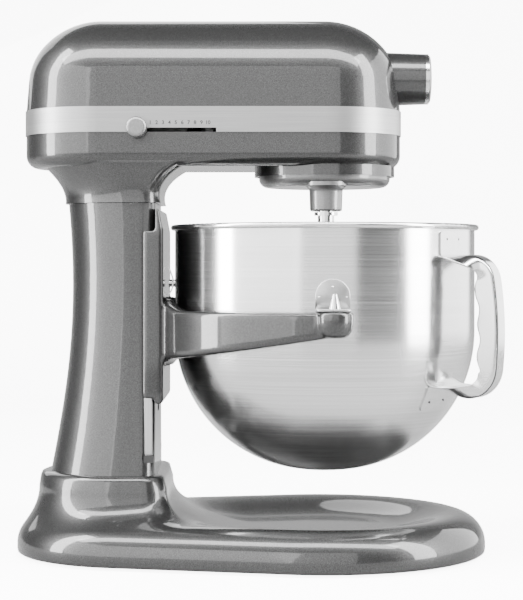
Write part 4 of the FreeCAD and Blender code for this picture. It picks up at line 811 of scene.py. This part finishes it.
def ear(side):
    """One lug: an arched plate on the wall, bent out at its foot into a flat flange for the pin."""
    half = (EAR_HIGH.x - EAR_LOW.x) / 2
    middle_x = (EAR_LOW.x + EAR_HIGH.x) / 2
    spring_line = EAR_HIGH.z - half
    outline = [(-half, EAR_LOW.z + 0.0002), (-half, spring_line)]
    outline += [(-half * math.cos(math.pi * part / 20), spring_line + half * math.sin(math.pi * part / 20))
                for part in range(1, 20)]
    outline += [(half, spring_line), (half, EAR_LOW.z + 0.0002)]
    meshes = []
    rings = []
    for rise, shrink in ((0.0, 1.0), (0.0013, 1.0), (0.0017, 0.96)):
        ring = []
        for across, height in outline:
            x = middle_x + across * shrink - BOWL_AXIS
            wall = math.sqrt(WALL_RADIUS ** 2 - x * x) + rise
            high = EAR_LOW.z + (height - EAR_LOW.z) * (1 - (1 - shrink) * 0.5)
            ring.append((x + BOWL_AXIS, side * wall, high))
        rings.append(ring)
    meshes.append(skin(rings, close_start=True, close_end=True))
    flange_low = WALL_RADIUS - 0.006
    flange_high = EAR_HIGH.y
    flange_middle = (flange_low + flange_high) / 2
    rings = []
    for height, shrink in ((EAR_LOW.z, 0.97), (EAR_LOW.z + 0.0004, 1.0), (EAR_LOW.z + 0.0016, 1.0),
                           (EAR_LOW.z + 0.0020, 0.97)):
        rings.append([(middle_x + across * shrink, side * (flange_middle + up * shrink), height)
                      for across, up in rounded_bar(half * 2, flange_high - flange_low, 0.004, 5)])
    meshes.append(skin(rings, close_start=True, close_end=True))
    return joined(meshes)


ears_piece = piece_from("bowl_lugs", joined([ear(-1), ear(1)]), EAR_STEEL, "bowl")
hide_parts("bowl_ears")


def ear_spots():
    """Three weld spots on each ear: one at the top of its arch and one each side of the pin."""
    spots = []
    middle = (EAR_LOW.x + EAR_HIGH.x) / 2 - BOWL_AXIS
    for side in (-1, 1):
        for across, height in ((0.0, EAR_SPOT_HIGH), (-EAR_SPOT_APART, EAR_SPOT_LOW),
                               (EAR_SPOT_APART, EAR_SPOT_LOW)):
            azimuth = side * math.acos((middle + across) / WALL_RADIUS)
            spots.append(weld_spot(azimuth, height, 0.0008, 0.0018))
    return joined(spots)


piece_from("ear_weld_spots", ear_spots(), BRIGHT_STEEL, "bowl")


# ---- bowl handle ----
# Formed from one strip of polished stainless steel: flat where it leaves the wall, folded between
# into an open channel with a wavy inner edge for the fingers. A thin black strip along its near
# bend is painted shade, standing in for the dark reflection in that bend. Its two end plates are
# spot-welded to the bowl's wall.

HANDLE_TURN = math.radians(-36)
HANDLE_REACH = 0.1588
HANDLE_TOP = 0.2352
HANDLE_TOP_BEND = 0.0215
HANDLE_BOW = 0.2610
HANDLE_FOOT_BEND = 0.0240
HANDLE_CROWN = 0.0050
HANDLE_FOLD = 0.0040
HANDLE_FLANGE = 0.0135
HANDLE_SHEET = 0.0012
BOWL_ROUND = 0.1102
PLATE_THICK = 0.0014
PLATE_CORNER = 0.0028
UPPER_WALL = 0.1190
LOWER_WALL = 0.1104
RUN_STEPS = 16
TOP_STEPS = 30
BOW_STEPS = 84
FOOT_STEPS = 40
BACK_STEPS = 14
TOP_CORNER = RUN_STEPS + 15
FOOT_CORNER = RUN_STEPS + TOP_STEPS + BOW_STEPS + 22
UNFOLD_TOP_STEPS = 44
UNFOLD_FOOT_STEPS = 40
GRIP_TOP = 0.212
GRIP_FOOT = 0.138
FINGER_PITCH = 0.0246
FINGER_MIDDLE = 0.1711
FINGER_DEEP = 0.0011
CORNER_TUCK = 0.0055


def handle_line():
    """Points down the handle's outer skin as (out, height, facing angle), from wall to wall."""
    lean, foot_lean, foot_end = math.radians(9), math.radians(-6), math.radians(-116)
    out = HANDLE_REACH - HANDLE_TOP_BEND * math.cos(lean) - HANDLE_BOW * (1 - math.cos(lean))
    height = HANDLE_TOP
    line = [(UPPER_WALL + (out - UPPER_WALL) * part / RUN_STEPS, height, math.pi / 2)
            for part in range(RUN_STEPS)]
    for radius, first, last, count in ((HANDLE_TOP_BEND, math.pi / 2, lean, TOP_STEPS),
                                       (HANDLE_BOW, lean, foot_lean, BOW_STEPS),
                                       (HANDLE_FOOT_BEND, foot_lean, foot_end, FOOT_STEPS)):
        middle_out = out - radius * math.cos(first)
        middle_height = height - radius * math.sin(first)
        for part in range(count):
            angle = first + (last - first) * part / count
            line.append((middle_out + radius * math.cos(angle),
                         middle_height + radius * math.sin(angle), angle))
        out = middle_out + radius * math.cos(last)
        height = middle_height + radius * math.sin(last)
    rise = (out - LOWER_WALL) * math.tan(-math.pi / 2 - foot_end)
    line += [(out + (LOWER_WALL - out) * part / BACK_STEPS, height + rise * part / BACK_STEPS, foot_end)
             for part in range(BACK_STEPS + 1)]
    return line


def handle_half(fold, trim):
    """Across and inward points from the middle of the strip to one edge, folded up by an angle."""
    points = [(HANDLE_CROWN * 0.5, 0.0), (HANDLE_CROWN, 0.0)]
    radius = HANDLE_FOLD / fold
    for part in range(1, 7):
        angle = fold * part / 6
        points.append((HANDLE_CROWN + radius * math.sin(angle), radius * (1 - math.cos(angle))))
    across, inward = points[-1]
    for share in (0.2, 0.45, 0.7, 0.92, 1.0):
        length = (HANDLE_FLANGE - trim) * share
        points.append((across + length * math.cos(fold), inward + length * math.sin(fold)))
    return points


def handle_point(out, height, facing, across, inward, wall_pull):
    """Places one point of the strip; wall_pull bends its end to the round wall of the bowl."""
    outward = Vector((math.cos(HANDLE_TURN), math.sin(HANDLE_TURN), 0))
    beside = Vector((-math.sin(HANDLE_TURN), math.cos(HANDLE_TURN), 0))
    fall = across * across / (2 * WALL_RADIUS)
    away = out - math.cos(facing) * inward - fall * wall_pull
    return (Vector((BOWL_AXIS, 0, height - math.sin(facing) * inward)) + outward * away + beside * across)


def handle_skin():
    """The strip swept along its line: flat on the wall at both ends, folded into a channel between."""
    mesh = bmesh.new()
    rows = []
    line = handle_line()
    for spot, (out, height, facing) in enumerate(line):
        left = len(line) - 1 - spot
        fold = math.radians(3 + 85 * ease(spot / UNFOLD_TOP_STEPS) * ease(left / UNFOLD_FOOT_STEPS))
        grip = ease((GRIP_TOP - height) / 0.010) * ease((height - GRIP_FOOT) / 0.008)
        if out <= HANDLE_REACH - 0.012:
            grip = 0.0
        corner = max(0.0, 1 - abs(spot - TOP_CORNER) / 24) + max(0.0, 1 - abs(spot - FOOT_CORNER) / 30)
        tuck = CORNER_TUCK * ease(corner)
        wave = FINGER_DEEP * grip * (1 + math.cos(2 * math.pi * (height - FINGER_MIDDLE) / FINGER_PITCH))
        pull = max(0.0, 1 - spot / (RUN_STEPS - 1), 1 - left / BACK_STEPS)
        near = [(-across, inward) for across, inward in reversed(handle_half(fold, wave + tuck))]
        row = near + [(0.0, 0.0)] + handle_half(fold, tuck)
        rows.append([mesh.verts.new(handle_point(out, height, facing, across, inward, pull))
                     for across, inward in row])
    for first, second in zip(rows, rows[1:]):
        for spot in range(len(first) - 1):
            mesh.faces.new((first[spot], first[spot + 1], second[spot + 1], second[spot]))
    bmesh.ops.recalc_face_normals(mesh, faces=mesh.faces)
    return mesh


def handle_seam():
    """A thin black strip along the near bend of the channel: painted shade for the dark reflection in the
    bend.
    """
    rings = []
    first = TOP_CORNER + 3
    last = len(handle_line()) - 9
    line = handle_line()[first:last]
    for out, height, facing in line:
        rings.append([handle_point(out, height, facing, -HANDLE_CROWN - 0.0006 + across, inward, 0.0)
                      for across, inward in ((-0.0005, 0.0002), (-0.0005, -0.00018), (0.0005, -0.0003),
                                             (0.0005, 0.0002))])
    return skin(rings, close_start=True, close_end=True)


def bowl_radius(height):
    """Outside radius of the bowl: a straight wall above, a round bottom below."""
    turn_height = SHELL_LOW.z + BOWL_ROUND
    if height > turn_height:
        return WALL_RADIUS
    return WALL_RADIUS - BOWL_ROUND + math.sqrt(BOWL_ROUND ** 2 - (turn_height - height) ** 2)


def wall_plate(low_angle, high_angle, low_z, high_z):
    """A thin plate with rounded corners that lies on the bowl's wall between two angles in degrees."""
    low_turn = math.radians(low_angle)
    high_turn = math.radians(high_angle)
    corner = PLATE_CORNER
    wide = (high_turn - low_turn) * WALL_RADIUS
    spots = [corner * (1 - math.cos(math.pi / 12 * part)) for part in range(6)]
    spots = [0.0001] + spots[1:] + [corner + (wide - 2 * corner) * part / 16 for part in range(17)]
    spots += [wide - spot for spot in reversed(spots[1:6])] + [wide - 0.0001]
    rings = []
    for spot in spots:
        gap = max(0.0, corner - min(spot, wide - spot))
        cut = corner - math.sqrt(corner * corner - gap * gap)
        turn = low_turn + spot / WALL_RADIUS
        heights = [low_z + cut + (high_z - low_z - 2 * cut) * part / 8 for part in range(9)]
        front = [(bowl_radius(height) + PLATE_THICK, height) for height in heights]
        back = [(bowl_radius(height) + 0.00005, height) for height in reversed(heights)]
        rings.append([(BOWL_AXIS + radius * math.cos(turn), radius * math.sin(turn), height)
                      for radius, height in front + back])
    return skin(rings, close_start=True, close_end=True)


handle_piece = piece_from("bowl_handle_channel", handle_skin(), BRIGHT_STEEL, "bowl")
thicken = handle_piece.modifiers.new("sheet", "SOLIDIFY")
thicken.thickness = HANDLE_SHEET
thicken.offset = -1
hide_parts("bowl_handle")
# The black strip along the handle's near bend is painted shade, not a real seam.
piece_from("handle_seam", handle_seam(), BLACK_PLASTIC, "bowl")
upper_plate = wall_plate(-45.5, -26, 0.2338, 0.2530)
lower_plate = wall_plate(-48, -24, 0.1175, 0.1365)
plates = piece_from("handle_end_plates", joined([upper_plate, lower_plate]), BRIGHT_STEEL,
                    "bowl")
crease = plates.modifiers.new("crease", "EDGE_SPLIT")
crease.split_angle = math.radians(40)
dots = [weld_spot(math.radians(turn), height, 0.0011, bowl_radius(height) - WALL_RADIUS + stand)
        for turn, height, stand in ((-41.8, 0.2469, 0.0012), (-34.0, 0.2469, 0.0012),
                                    (-44.4, 0.1240, 0.0016), (-34.9, 0.1248, 0.0016))]
piece_from("handle_weld_spots", joined(dots), BLACK_PLASTIC, "bowl")
